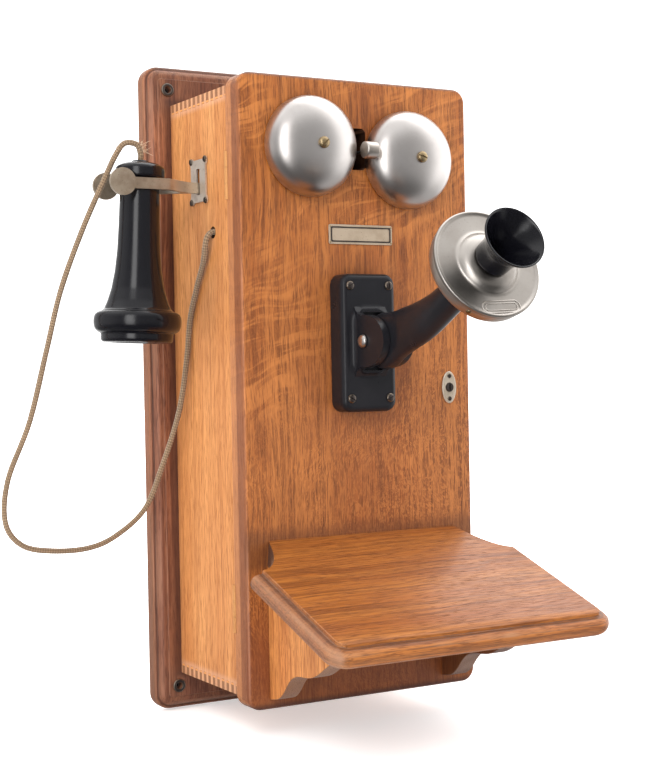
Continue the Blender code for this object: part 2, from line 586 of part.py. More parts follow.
def build_shelf():
    slope = radians(SHELF_SLOPE)
    out = Vector((0, -cos(slope), -sin(slope)))
    down = Vector((0, sin(slope), -cos(slope)))
    hinge = Vector((0, DOOR_FRONT - GAP, SHELF_Z))

    def outline(grow):
        w, s, r = SHELF_FLAT_W + grow, SHELF_FLAT_S + grow, 8.0 + grow
        half = []
        for i in range(9):
            t = i / 8
            p0, p1, p2 = (SHELF_REAR_W, 0), (SHELF_REAR_W + 10, 0.9 * SHELF_EAR_S), (w, SHELF_EAR_S)
            half.append(tuple((1 - t) ** 2 * a + 2 * t * (1 - t) * b + t * t * c
                              for a, b, c in zip(p0, p1, p2)))
        half += arc((w - r, s - r), r, 0, 90, 6)
        return half + [(-a, b) for a, b in reversed(half)]

    levels = [(0, 0), (0.1, 3.0), (3.2, 3.3), (5.6, 4.1), (7.6, 5.8), (8.5, 8.4), (8.4, 11.0),
              (7.2, 13.6), (4.8, 15.9), (2.2, SHELF_T)]
    loops = []
    for grow, depth in levels:
        loops.append([tuple(hinge + Vector((x, 0, 0)) + out * s + down * depth)
                      for x, s in outline(grow)])
    bm = loft(loops)
    shelf = add_mesh("writing_shelf", bm, "shelf")
    # the rear edge is planed upright to lie against the door
    boolean(shelf, box(-150, 150, DOOR_FRONT - GAP, DOOR_FRONT + 30, -180, -80), "shelf_rear_plane")

    z_under = SHELF_Z - (SHELF_T + GAP) / cos(slope)
    drop = sin(slope) / cos(slope)
    y0, y1 = DOOR_FRONT - GAP, -256.0
    scroll = [(y0, -231.5), (-158, -229.5), (-164, -225.8), (-169, -221), (-174, -215),
              (-181, -209.6), (-190, -206.8), (-200, -206.3), (-209, -205.0), (-218, -201.5),
              (-228, -195.5), (-239, -189.5), (-250, -186.0), (-254, -183.0)]
    profile = scroll + [(y1, z_under - (y0 - y1) * drop), (y0, z_under)]
    for side, sign in (("left", -1), ("right", 1)):
        low, high = sorted((sign * BRACKET_X, sign * (BRACKET_X - BRACKET_T)))
        add_mesh(f"shelf_bracket_{side}", prism(profile, 0, low, high), "bracket")


def build_hook():
    x_out = -BOX_W / 2
    z0, z1 = HOOK_Z - HOOK_H / 2, HOOK_Z + HOOK_H / 2
    half = [(-40, 1.7), (-108, 1.7), (-118, 8.0), (-127, 15.6), (-133, 18.5), (-160.5, 18.5),
            (-160.5, 16.1), (-134, 16.1), (-124, 9.0), (-115, 0)]
    outline = [(x, HOOK_Y + y) for x, y in half] + [(x, HOOK_Y - y) for x, y in half[-2::-1]]
    lever = add_mesh("hook_lever", prism(outline, 2, z0, z1), "worn",
                     origin=(HOOK_PIVOT_X, HOOK_Y, HOOK_Z))
    for i, sign in enumerate((-1, 1)):
        disc = rod((DISC_X, HOOK_Y + sign * 15.9, DISC_Z), (DISC_X, HOOK_Y + sign * 18.7, DISC_Z),
                   DISC_R, 22)
        boolean(lever, disc, f"hook_disc_{i}", "UNION")
    boolean(lever, rod((HOOK_PIVOT_X, HOOK_Y - 5, HOOK_Z), (HOOK_PIVOT_X, HOOK_Y + 5, HOOK_Z), 2.3),
            "hook_pivot_hole")

    w, h, ear = 14.9, 18.2, 4.6
    top = [(w - 1.7, 0), (w - 1.6, h - ear - 1.6), (w, h - ear), (w, h - 1.5), (w - 1.5, h),
           (w - ear, h), (w - ear - 1.4, h - 1.7)]
    ring = top + [(-a, b) for a, b in reversed(top)]
    ring += [(-a, -b) for a, b in top[1:]] + [(a, -b) for a, b in reversed(top[1:])]
    plate = [(HOOK_Y + a, 161.7 + b) for a, b in ring]
    obj = add_mesh("hook_escutcheon", prism(plate, 0, x_out - GAP - 1.3, x_out - GAP), "worn")
    boolean(obj, box(x_out - 5, x_out + 5, HOOK_Y - 2.3, HOOK_Y + 2.3, 151.0, 171.6), "hook_slot")

    cheeks = [(HOOK_Y - 6, 146), (HOOK_Y - 3.6, 146), (HOOK_Y - 3.6, 175), (HOOK_Y + 3.6, 175),
              (HOOK_Y + 3.6, 146), (HOOK_Y + 6, 146), (HOOK_Y + 6, 178), (HOOK_Y - 6, 178)]
    bracket = add_mesh("hook_bracket", prism(cheeks, 0, -88.2, -58), "steel")
    boolean(bracket, rod((HOOK_PIVOT_X, HOOK_Y - 7, HOOK_Z), (HOOK_PIVOT_X, HOOK_Y + 7, HOOK_Z), 2.1),
            "hook_pin", "UNION")
    comb = [(-24, 120), (-24, 150), (-34, 150), (-34, 143), (-50, 143), (-50, 142), (-34, 142),
            (-34, 137), (-50, 137), (-50, 136), (-34, 136), (-34, 120)]
    springs = add_mesh("hook_springs", prism(comb, 1, HOOK_Y - 3, HOOK_Y + 3), "brass")
    boolean(springs, box(-34, -24, HOOK_Y, BOX_REAR - GAP, 120, 150), "hook_spring_block", "UNION")


def build_receiver():
    top = 175.0
    hang = Vector((RECEIVER_X, HOOK_Y, 168.0))
    lean = Matrix.Rotation(radians(RECEIVER_LEAN), 4, "Y")
    place = Matrix.Translation(hang) @ lean @ Matrix.Translation((0, 0, -168.0))
    shell = [(2.6, top), (6.4, top), (6.9, 174.2), (7.2, 173.4), (13.5, 172.6), (17.6, 170.6),
             (19.0, 168.6), (19.0, 162.8), (18.2, 161.4), (15.6, 160.9), (15.3, 159.8), (15.3, 146),
             (15.7, 126), (16.4, 107), (17.9, 91), (20.4, 77), (23.3, 67.4), (26.0, 61.2),
             (28.4, 60.0), (28.4, 53.2), (24.0, 53.2), (24.0, 60.5), (20.0, 69.5), (16.8, 81),
             (13.6, 95), (12.4, 110), (12.2, 158), (9.0, 166), (2.6, 168.5)]
    add_mesh("receiver_shell", revolve(shell, place, 22), "bakelite", origin=tuple(hang),
             smooth=True)
    cap = [(28.8, 59.7), (31.4, 59.6), (32.8, 57.8), (33.2, 54.5), (33.2, 48.6), (32.6, 45.6),
           (31.0, 44.0), (28.6, 43.4), (27.6, 42.6), (27.6, 38.4), (26.6, 36.6), (24.6, 36.2),
           (12.0, 39.0), (6.0, 40.4), (6.0, 43.4), (20.0, 46.0), (25.0, 49.0), (25.0, 51.6),
           (28.8, 51.6)]
    add_mesh("receiver_cap", revolve(cap, place, 22), "bakelite", origin=tuple(hang), smooth=True)
    disc = [(0, 51.9), (28.2, 51.9), (28.2, 52.5), (0, 52.5)]
    add_mesh("receiver_diaphragm", revolve(disc, place, 16), "steel", origin=tuple(hang))
    magnet = box(-4, 4, -7.5, 7.5, 66, 150)
    magnet.transform(place)
    unit = add_mesh("receiver_magnet", magnet, "steel", origin=tuple(hang))
    poles = prism(rounded_rect(-9, 9, -9, 9, 3, 2), 2, 54, 68)
    poles.transform(place)
    boolean(unit, poles, "receiver_coils", "UNION")

    exit_point = place @ Vector((0, 0, top + GAP))
    rise = (place.to_3x3() @ Vector((0, 0, 1))).normalized()
    route = [exit_point, exit_point + rise * 5, exit_point + rise * 12 + Vector((-3.0, 0.5, 0)),
             Vector((-160, -69, 188)), Vector((-167, -68, 179)), Vector((-175, -66, 162)),
             Vector((-191, -57, 122)), Vector((-206, -49, 77)), Vector((-217, -45, 31)),
             Vector((-231, -44, -22)), Vector((-248, -42, -65)), Vector((-250, -40, -97)),
             Vector((-237, -38, -115)), Vector((-213, -35, -121.5)), Vector((-182, -32, -122)),
             Vector((-158, -31, -114)), Vector((-133, -31, -94)), Vector((-118, -33, -60)),
             Vector((-107, -42, -18)), Vector((-102.2, -48, 23)), Vector((-101.4, -54, 54)),
             Vector((-101.8, -68, 78)), Vector((-102.6, -84, 99)), Vector((-104.2, -91, 111)),
             Vector((-102.6, CORD_HOLE_Y, 117.5)), Vector((-97.5, CORD_HOLE_Y, 120.6)),
             Vector((-84.0, CORD_HOLE_Y, 120.2))]
    tube("receiver_cord", smooth_path(route, 10.5), CORD_D / 2, "cloth")


def gear(teeth, module, clearance):
    """Outline of a spur gear with slightly slim straight-sided teeth."""
    pitch = module * teeth / 2
    out = []
    for k in range(teeth):
        mid = 2 * pi * k / teeth
        for share, radius in ((-0.30, pitch - 1.15 * module), (-0.12, pitch + 0.75 * module),
                              (0.12, pitch + 0.75 * module), (0.30, pitch - 1.15 * module)):
            angle = mid + share * (1 - clearance) * 2 * pi / teeth
            out.append((radius * cos(angle), radius * sin(angle)))
    return out


def build_magneto():
    reach = MODULE * (GEAR_TEETH + PINION_TEETH) / 2
    armature_z = CRANK_Z - sqrt(reach ** 2 - (ARMATURE_Y - CRANK_Y) ** 2)
    frame = [(-45, -44.4), (45, -44.4), (45, 30), (41, 30), (41, -38), (-41, -38), (-41, 30),
             (-45, 30)]
    body = add_mesh("magneto_frame", prism(frame, 1, -104, -30), "steel")
    boolean(body, rod((30, CRANK_Y, CRANK_Z), (60, CRANK_Y, CRANK_Z), 4.3, 20), "frame_crank_bore")
    boolean(body, rod((-60, ARMATURE_Y, armature_z), (60, ARMATURE_Y, armature_z), 3.3, 20),
            "frame_armature_bore")
    for i, x in enumerate((-19, 19)):
        legs = [(ARMATURE_Y + 24, -37.7), (ARMATURE_Y + 16, -37.7), (ARMATURE_Y + 16, 32)]
        legs += arc((ARMATURE_Y, 32), 16, 0, 180, 8)[1:]
        legs += [(ARMATURE_Y - 16, -37.7), (ARMATURE_Y - 24, -37.7), (ARMATURE_Y - 24, 32)]
        legs += arc((ARMATURE_Y, 32), 24, 180, 0, 10)[1:]
        add_mesh(f"magneto_magnet_{i + 1}", prism(legs, 0, x - 17, x + 17), "magnet")

    turn = [(0, -49), (3.0, -49), (3.0, -38.5), (13, -38.5), (13, 38.5), (3.0, 38.5), (3.0, 56),
            (0, 56)]
    axis = (0, ARMATURE_Y, armature_z)
    armature = add_mesh("magneto_armature", revolve(turn, along(axis, (1, 0, 0)), 16), "steel",
                        origin=axis)
    cy, sz = (CRANK_Y - ARMATURE_Y) / reach, (CRANK_Z - armature_z) / reach

    def turned(outline, centre, cosine, sine, half_tooth):
        """The outline with tooth 0, or the gap beside it, facing the direction given."""
        ca, sa = cos(half_tooth), sin(half_tooth)
        out = []
        for a, b in outline:
            a, b = a * ca - b * sa, a * sa + b * ca
            out.append((centre[0] + a * cosine - b * sine, centre[1] + a * sine + b * cosine))
        return out

    pinion = turned(gear(PINION_TEETH, MODULE, 0.12), (ARMATURE_Y, armature_z), cy, sz, 0)
    boolean(armature, prism(pinion, 0, 48.5, 55.5), "pinion", "UNION")
    shaft = add_mesh("crank_shaft", rod((38, CRANK_Y, CRANK_Z), (104, CRANK_Y, CRANK_Z), 4.0, 20),
                     "steel", origin=(104, CRANK_Y, CRANK_Z))
    wheel = turned(gear(GEAR_TEETH, MODULE, 0.12), (CRANK_Y, CRANK_Z), -cy, -sz, pi / GEAR_TEETH)
    boolean(shaft, prism(wheel, 0, 50, 54), "gear_wheel", "UNION")

    ring = [(4.5, 0), (11.5, 0), (11.0, 1.6), (6.5, 2.6), (4.5, 2.6)]
    add_mesh("crank_bushing", revolve(ring, along((BOX_W / 2 + GAP, CRANK_Y, CRANK_Z), (1, 0, 0)), 16),
             "worn")
    hub = (CRANK_Y, CRANK_Z)
    bar = arc(hub, 7, 0, 180, 10) + arc((CRANK_Y, CRANK_Z - CRANK_R), 5, 180, 360, 8)
    pivot = (104, CRANK_Y, CRANK_Z)
    add_mesh("crank_arm", prism(bar, 0, 104.3, 108.3), "worn", origin=pivot)
    knob = [(0, 0), (5.0, 0), (6.4, 3), (6.0, 9), (7.6, 19), (8.2, 25), (6.6, 29), (0, 30)]
    add_mesh("crank_knob",
             revolve(knob, along((108.6, CRANK_Y, CRANK_Z - CRANK_R), (1, 0, 0)), 16), "bakelite",
             origin=pivot, smooth=True)


def build_electrics():
    for side, x in (("left", -38), ("right", 38)):
        cell = [(0, 0), (32, 0), (32, 158), (30.5, 158), (30.5, 155.5), (6, 155.5), (6, 160),
                (2.6, 160), (2.6, 166), (0, 166)]
        bottom = BOX_BOTTOM + END_T + GAP
        add_mesh(f"dry_cell_{side}", revolve(cell, along((x, -66, bottom), (0, 0, 1)), 18), "cell")
    spool = [(0, 0), (13, 0), (13, 3), (9.5, 3), (9.5, 57), (13, 57), (13, 60), (0, 60)]
    add_mesh("induction_coil", revolve(spool, along((-30, -32.5, 96), (1, 0, 0)), 14), "coil")


clear_scene()
build_backboard()
build_cabinet()
build_door()
build_bells()
build_transmitter()
build_shelf()
build_hook()
build_receiver()
build_magneto()
build_electrics()
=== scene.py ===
"""Looks of the antique oak wall telephone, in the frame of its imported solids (metres, Z up)."""

from random import Random
from math import copysign, cos, pi, radians, sin, tan

import bmesh
import bpy
from mathutils import Matrix, Vector, noise


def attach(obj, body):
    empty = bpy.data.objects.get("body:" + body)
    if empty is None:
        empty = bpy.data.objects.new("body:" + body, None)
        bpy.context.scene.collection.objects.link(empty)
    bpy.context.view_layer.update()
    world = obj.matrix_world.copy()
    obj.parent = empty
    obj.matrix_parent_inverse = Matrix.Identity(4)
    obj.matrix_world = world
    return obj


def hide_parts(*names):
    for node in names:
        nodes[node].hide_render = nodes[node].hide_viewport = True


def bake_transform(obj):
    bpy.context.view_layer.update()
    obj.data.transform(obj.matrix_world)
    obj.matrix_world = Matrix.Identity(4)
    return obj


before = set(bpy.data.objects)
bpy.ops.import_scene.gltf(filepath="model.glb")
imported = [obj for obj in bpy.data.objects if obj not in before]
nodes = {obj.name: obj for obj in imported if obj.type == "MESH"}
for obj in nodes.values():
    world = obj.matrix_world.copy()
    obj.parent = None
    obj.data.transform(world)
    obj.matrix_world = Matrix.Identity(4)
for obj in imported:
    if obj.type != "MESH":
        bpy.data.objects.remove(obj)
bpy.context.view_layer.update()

MM = 0.001
SHELF_SLOPE = radians(19.1)
BRAID_YARNS, BRAID_PITCH = 4, 4.2
GREY_DIRT = (0.10, 0.065, 0.06)


# ---------------------------------------------------------------- camera, light, floor

def add_camera():
    """Seen from the left front, level with the middle, with a long lens."""
    azimuth, elevation, roll = radians(-29.834), radians(0.765), radians(-1.064)
    back = Vector((sin(azimuth) * cos(elevation), -cos(azimuth) * cos(elevation), sin(elevation)))
    right = (-back).cross(Vector((0, 0, 1))).normalized()
    up = right.cross(-back)
    side = cos(roll) * right + sin(roll) * up
    top = -sin(roll) * right + cos(roll) * up
    data = bpy.data.cameras.new("camera")
    data.lens = 71.06
    data.sensor_width = 36.0
    data.sensor_fit = "AUTO"
    data.clip_start = 0.05
    camera = bpy.data.objects.new("camera", data)
    camera.matrix_world = Matrix.Translation((-0.6044, -1.1446, 0.0177)) @ Matrix(
        (side, top, back)).transposed().to_4x4()
    bpy.context.scene.collection.objects.link(camera)
    bpy.context.scene.camera = camera


def area_light(name, position, target, size, power, colour=(1, 1, 1)):
    data = bpy.data.lights.new(name, "AREA")
    data.shape = "SQUARE"
    data.size = size
    data.energy = power
    data.color = colour
    lamp = bpy.data.objects.new(name, data)
    lamp.visible_glossy = False
    aim = Vector(target) - Vector(position)
    lamp.matrix_world = Matrix.Translation(position) @ aim.to_track_quat("-Z", "Y").to_matrix().to_4x4()
    bpy.context.scene.collection.objects.link(lamp)


def add_studio():
    """A white room: a bright strip to the left front for the metals, softer walls and ceiling."""
    bpy.context.scene.view_settings.view_transform = "Standard"
    world = bpy.data.worlds.new("studio")
    world.use_nodes = True
    bpy.context.scene.world = world
    tree = world.node_tree
    tree.nodes.clear()
    out = add_node(tree, "ShaderNodeOutputWorld")
    x, y, z = value(tree, "ShaderNodeTexCoord", output="Generated").xyz()
    turn = x.apply("ARCTAN2", y * -1.0)
    strip = turn.between(-1.02, -0.86) * turn.between(-0.46, -0.60)
    strip = strip * z.between(-0.55, -0.35) * z.between(0.70, 0.45)
    walls = turn.between(-1.10, -1.8) * 0.30 + turn.between(0.62, 1.00) * 1.5
    above = z.between(0.35, 0.85) * 0.70
    low = z.between(-0.50, 0.0) * 0.70 + 0.30
    glow = (strip * 3.8 + walls + above + 0.40) * low
    seen = value(tree, "ShaderNodeLightPath", output="Is Camera Ray")
    strength = glow.apply("MAXIMUM", seen * 1.05)
    sky = add_node(tree, "ShaderNodeBackground",
                   {"Color": (1.0, 0.995, 0.99, 1), "Strength": strength})
    tree.links.new(sky.outputs[0], out.inputs[0])
    area_light("key", (-1.25, -1.45, 1.25), (0, -0.1, 0.0), 0.9, 20, (1.0, 0.985, 0.96))
    area_light("left_wall", (-1.9, -0.05, 0.25), (0, -0.05, 0), 1.3, 7, (1.0, 0.98, 0.95))
    area_light("right_fill", (1.7, -1.0, 0.5), (0, -0.15, 0), 1.1, 5, (0.97, 0.985, 1.0))
    area_light("behind", (0.9, 1.4, 1.0), (0, -0.05, 0), 1.2, 4)


def add_floor():
    low = -0.2625
    mesh = bpy.data.meshes.new("floor")
    mesh.from_pydata([(-6, -6, low), (6, -6, low), (6, 8, low), (-6, 8, low)], [], [(0, 1, 2, 3)])
    floor = bpy.data.objects.new("floor", mesh)
    bpy.context.scene.collection.objects.link(floor)
    mat, tree, bsdf = new_material("floor_paint")
    place = coordinates(tree)
    feed(mix(place.noise(9.0, 3), (0.93, 0.92, 0.92), (0.95, 0.94, 0.94)), bsdf, "Base Color")
    bsdf.inputs["Roughness"].default_value = 0.9
    bsdf.inputs["Specular IOR Level"].default_value = 0.0
    bsdf.inputs["Emission Color"].default_value = (1.0, 0.985, 0.99, 1)
    x, y, _ = place.xyz()
    away = (x * x + y * y).apply("SQRT")
    glow = away.between(0.30, 1.1) * 0.70 + 0.46
    seen = value(tree, "ShaderNodeLightPath", output="Is Camera Ray")
    feed(glow * (seen * 0.85 + 0.15), bsdf, "Emission Strength")
    mesh.materials.append(mat)
    floor.visible_glossy = False


# ---------------------------------------------------------------- shader values

class Value:
    """An output of a shader node. Sums written with values make the nodes that work them out."""

    def __init__(self, tree, socket):
        self.tree = tree
        self.socket = socket

    def apply(self, operation, other=0.0):
        return value(self.tree, "ShaderNodeMath", {0: self, 1: other}, operation=operation)

    def __mul__(self, other):
        return self.apply("MULTIPLY", other)

    def __add__(self, other):
        return self.apply("ADD", other)

    def __sub__(self, other):
        return self.apply("SUBTRACT", other)

    def __rsub__(self, other):
        return self * -1.0 + other

    def __abs__(self):
        return self.apply("ABSOLUTE")

    def between(self, low, high):
        """0 at low, 1 at high, smooth in between."""
        return value(self.tree, "ShaderNodeMapRange",
                     {"Value": self, "From Min": low, "From Max": high}, "Result",
                     interpolation_type="SMOOTHSTEP")

    def xyz(self):
        made = add_node(self.tree, "ShaderNodeSeparateXYZ", {"Vector": self})
        return [Value(self.tree, socket) for socket in made.outputs]

    def moved(self, other):
        return value(self.tree, "ShaderNodeVectorMath", {0: self, 1: other}, operation="ADD")

    def scaled(self, factor):
        return value(self.tree, "ShaderNodeVectorMath", {0: self, "Scale": factor},
                     operation="SCALE")

    def rotated(self, angle, axis):
        return value(self.tree, "ShaderNodeVectorRotate", {"Vector": self, "Angle": angle},
                     rotation_type=f"{axis}_AXIS")

    def stretched(self, scale, rotation=(0, 0, 0)):
        return value(self.tree, "ShaderNodeMapping",
                     {"Vector": self, "Scale": scale, "Rotation": rotation})

    def noise(self, scale, detail=3.0, rough=0.55, distortion=0.0, output=0):
        return value(self.tree, "ShaderNodeTexNoise",
                     {"Vector": self, "Scale": scale, "Detail": detail, "Roughness": rough,
                      "Distortion": distortion}, output)


def add_node(tree, kind, inputs=None, **settings):
    made = tree.nodes.new(kind)
    for key, setting in settings.items():
        setattr(made, key, setting)
    for key, given in (inputs or {}).items():
        if isinstance(given, Value):
            tree.links.new(given.socket, made.inputs[key])
        else:
            made.inputs[key].default_value = given
    return made


def value(tree, kind, inputs=None, output=0, **settings):
    return Value(tree, add_node(tree, kind, inputs, **settings).outputs[output])


def rgb(colour, gain=1.0):
    return (colour[0] * gain, colour[1] * gain, colour[2] * gain, 1.0)


def mix(factor, first, second):
    first, second = (rgb(c) if isinstance(c, tuple) else c for c in (first, second))
    return value(factor.tree, "ShaderNodeMix", {0: factor, 6: first, 7: second}, 2,
                 data_type="RGBA")


def coordinates(tree):
    return value(tree, "ShaderNodeTexCoord", output="Object")


def edge_wear(tree, low=0.03, high=0.20, tilt=0.0):
    """1 where the surface turns between two of the piece's own axes: its rounded edges."""
    facing = value(tree, "ShaderNodeTexCoord", output="Normal")
    if tilt:
        facing = facing.rotated(tilt, "X")
    x, y, z = facing.xyz()
    most = abs(x).apply("MAXIMUM", abs(y)).apply("MAXIMUM", abs(z))
    return (1.0 - most).between(low, high)


def feed(given, bsdf, name):
    given.tree.links.new(given.socket, bsdf.inputs[name])


def bump(bsdf, height, strength, distance):
    feed(value(height.tree, "ShaderNodeBump", {"Height": height, "Strength": strength,
                                               "Distance": distance}), bsdf, "Normal")


def new_material(name):
    mat = bpy.data.materials.new(name)
    mat.use_nodes = True
    return mat, mat.node_tree, mat.node_tree.nodes["Principled BSDF"]


# ---------------------------------------------------------------- materials

def ray_flecks(tone, place, light, amount):
    """Quarter-sawn figure: long pale waves across the upper left, short wavy dashes elsewhere."""
    x, _, z = coordinates(place.tree).xyz()
    bent = place.moved(place.noise(11.0, 2, 0.5, output="Color").scaled(0.055))
    wave = bent.rotated(radians(22), "Y").stretched((17, 17, 150)).noise(1.0, 3, 0.55, 0.6)
    dash = bent.stretched((560, 560, 175)).noise(1.0, 2, 0.5, 1.6)
    upper = (x * -0.9 + z).between(-0.02, 0.10)
    patch = place.noise(14.0, 2, 0.5).between(0.38, 0.56)
    wave = wave.between(0.46, 0.62) * upper * patch
    dash = dash.between(0.46, 0.57) * (1.0 - upper * 0.75) * (patch * 0.6 + 0.4)
    tone = mix(wave * amount, tone, rgb(light, 1.15))
    return mix(dash * (0.95 * amount), tone, rgb(light, 1.18))


def oak(name, light, mid, dark, grain="Z", flecks=0.0, rough=0.42, seed=0.0,
        worn=None, wear=0.35, shade=None, streak=1.0, tilt=0.0):
    """Varnished oak: streaks and pores along the grain, ray flecks across it, worn edges."""
    mat, tree, bsdf = new_material(name)
    place = coordinates(tree).moved((seed, seed * 0.7, seed * 1.3))
    drift = place.noise(7.0, 2, 0.5, output="Color").moved((-0.5, -0.5, -0.5))
    warped = place.moved(drift.scaled(0.011))

    def fibres(across, length, detail, roughness):
        scale = (length, across, across) if grain == "X" else (across, across, length)
        return warped.stretched(scale).noise(1.0, detail, roughness)

    fibre = fibres(640, 12, 3, 0.7)
    pore = fibres(1500, 75, 2, 0.5).between(0.50, 0.66)
    blotch = place.noise(13.0, 3, 0.6)

    tone = mix(fibres(46, 1.6, 3, 0.6).between(0.34, 0.68), mid, light)
    tone = mix(fibres(250, 3.4, 3, 0.62).between(0.47, 0.66) * (0.62 * streak), tone, dark)
    tone = mix(fibre.between(0.46, 0.66) * (0.55 * streak), tone, rgb(dark, 0.9))
    if flecks:
        tone = ray_flecks(tone, place, light, flecks)
    tone = mix(pore * 0.62, tone, rgb(dark, 0.7))
    tone = mix(blotch.between(0.35, 0.75) * 0.22, tone, rgb(dark, 1.2))
    if shade:
        tone = shade(tone, place, *coordinates(tree).xyz())
    rub = edge_wear(tree, tilt=tilt) * blotch.between(0.38, 0.62)
    feed(mix(rub * wear, tone, worn or light), bsdf, "Base Color")
    feed(pore * 0.2 + blotch * 0.16 + (rough - 0.06), bsdf, "Roughness")
    bump(bsdf, fibre * 0.5 - pore * 0.9, 0.22, 0.0004)
    bsdf.inputs["Specular IOR Level"].default_value = 0.36
    return mat


def metal(name, colour, tarnish, rough=0.28, spots=0.5, brushed=0.25, wear=None, patina=0.5,
          metallic=1.0, cloudy=0.22):
    """Plated or bare metal with tarnish clouds, dark specks and fine scratches."""
    mat, tree, bsdf = new_material(name)
    place = coordinates(tree)
    cloud = place.noise(55.0, 4, 0.62)
    speck = place.noise(900.0, 2, 0.5)
    scratch = place.stretched((2600, 160, 1200), (0.3, 0.5, 0.2)).noise(1.0, 2, 0.5)
    tone = mix(cloud.between(0.40, 0.72) * patina, colour, tarnish)
    tone = mix(speck.between(0.64, 0.72) * spots, tone, rgb(tarnish, 0.45))
    if wear:
        tone = mix(edge_wear(tree) * 0.7, tone, wear)
    feed(tone, bsdf, "Base Color")
    bsdf.inputs["Metallic"].default_value = metallic
    feed(scratch * (0.10 * brushed) + cloud * cloudy + (rough - 0.4 * cloudy), bsdf, "Roughness")
    bump(bsdf, speck * 0.05 + scratch * 0.6, 0.10 * brushed + 0.01, 0.0002)
    return mat


def enamel(name, colour, under, rough=0.3, wear=0.6, dust=0.12, shine=0.42):
    """Black japan or polished hard rubber: dusty, with its edges rubbed through."""
    mat, tree, bsdf = new_material(name)
    place = coordinates(tree)
    cloud = place.noise(38.0, 4, 0.6)
    grain = place.noise(700.0, 3, 0.6)
    tone = mix(cloud.between(0.42, 0.75) * dust, colour, rgb(under, 0.8))
    chips = edge_wear(tree, 0.05, 0.25) * grain.between(0.50, 0.64)
    feed(mix(chips * wear, tone, under), bsdf, "Base Color")
    feed(cloud * 0.20 + (rough - 0.09), bsdf, "Roughness")
    bsdf.inputs["Specular IOR Level"].default_value = shine
    bump(bsdf, grain, 0.10, 0.0003)
    return mat


def braid_cloth(name):
    """Braided cotton over rubber: two crossing yarn sets, faded and dirty."""
    mat, tree, bsdf = new_material(name)
    place = coordinates(tree)
    u, v, _ = value(tree, "ShaderNodeUVMap", uv_map="braid").xyz()
    turn = u * (2 * pi * BRAID_YARNS)
    run = v * (2 * pi / (BRAID_PITCH * MM))
    yarn = (turn + run).apply("SINE") * (turn - run).apply("SINE")
    fuzz = place.noise(2200.0, 3, 0.6)
    tone = mix(yarn.between(-0.5, 0.6), (0.115, 0.066, 0.034), (0.30, 0.205, 0.12))
    tone = mix(place.noise(40.0, 4, 0.6).between(0.40, 0.72) * 0.55, tone, (0.14, 0.088, 0.05))
    feed(mix(fuzz * 0.30, tone, (0.42, 0.32, 0.22)), bsdf, "Base Color")
    bsdf.inputs["Roughness"].default_value = 0.92
    bsdf.inputs["Sheen Weight"].default_value = 0.25
    bump(bsdf, fuzz * 0.6 + yarn, 0.5, 0.0004)
    return mat


# ---------------------------------------------------------------- mesh tools (millimetres)

def circle(count):
    return [(cos(2 * pi * i / count), sin(2 * pi * i / count)) for i in range(count)]


def loft(loops, ring=False, caps=True):
    bm = bmesh.new()
    rows = [[bm.verts.new(p) for p in loop] for loop in loops]
    pairs = list(zip(rows, rows[1:]))
    if ring:
        pairs.append((rows[-1], rows[0]))
    for low, high in pairs:
        for i in range(len(low)):
            j = (i + 1) % len(low)
            bm.faces.new((low[i], low[j], high[j], high[i]))
    if caps and not ring:
        bm.faces.new(rows[0])
        bm.faces.new(rows[-1])
    return bm


def bend(start, corner, end, t):
    """A place a share t of the way along the curve that leaves and arrives towards the corner."""
    return start * (1 - t) ** 2 + corner * (2 * t * (1 - t)) + end * t * t


def ease(points, radius, count=4, closed=True):
    """Round each corner of a line by a curve that starts that far from it."""
    out = []
    total = len(points)
    for i, point in enumerate(points):
        if not closed and i in (0, total - 1):
            out.append(tuple(point))
            continue
        p = Vector(point)
        before, after = Vector(points[i - 1]) - p, Vector(points[(i + 1) % total]) - p
        a = p + before.normalized() * min(radius, before.length / 2)
        b = p + after.normalized() * min(radius, after.length / 2)
        for k in range(count + 1):
            q = bend(a, p, b, k / count)
            if not out or (Vector(out[-1]) - q).length > 1e-4:
                out.append(tuple(q))
    if closed and (Vector(out[0]) - Vector(out[-1])).length < 1e-4:
        out.pop()
    return out


def revolve(profile, place, segments=96):
    """Turn (radius, height) points about the local Z axis; off the axis they make a ring."""
    solid = profile[0][0] < 1e-6
    body = profile[1:-1] if solid else profile
    bm = loft([[(r * c, r * s, h) for c, s in circle(segments)] for r, h in body],
              ring=not solid, caps=False)
    if solid:
        for height, row in ((profile[0][1], 0), (profile[-1][1], len(body) - 1)):
            bm.verts.ensure_lookup_table()
            ring = [bm.verts[row * segments + i] for i in range(segments)]
            tip = bm.verts.new((0, 0, height))
            for i in range(segments):
                bm.faces.new((ring[i], ring[(i + 1) % segments], tip))
    bm.transform(place)
    return bm


def prism(outline, axis, low, high):
    """An outline in the two other axes, drawn out along this one."""
    others = [i for i in range(3) if i != axis]

    def point(pair, level):
        out = [0.0, 0.0, 0.0]
        out[axis] = level
        out[others[0]], out[others[1]] = pair
        return out

    return loft([[point(p, low) for p in outline], [point(p, high) for p in outline]])


def box(x0, x1, y0, y1, z0, z1):
    return prism([(y0, z0), (y1, z0), (y1, z1), (y0, z1)], 0, x0, x1)


def along(point, direction):
    """The placing that puts local Z on a direction, at a point."""
    turn = Vector(direction).to_track_quat("Z", "Y").to_matrix().to_4x4()
    return Matrix.Translation(point) @ turn


def rod(start, end, radius, segments=32):
    start, end = Vector(start), Vector(end)
    length = (end - start).length
    return revolve([(0, 0), (radius, 0), (radius, length), (0, length)],
                   along(start, end - start), segments)


def arc(centre, radius, first, last, count):
    angles = [radians(first + (last - first) * i / count) for i in range(count + 1)]
    return [(centre[0] + radius * cos(a), centre[1] + radius * sin(a)) for a in angles]


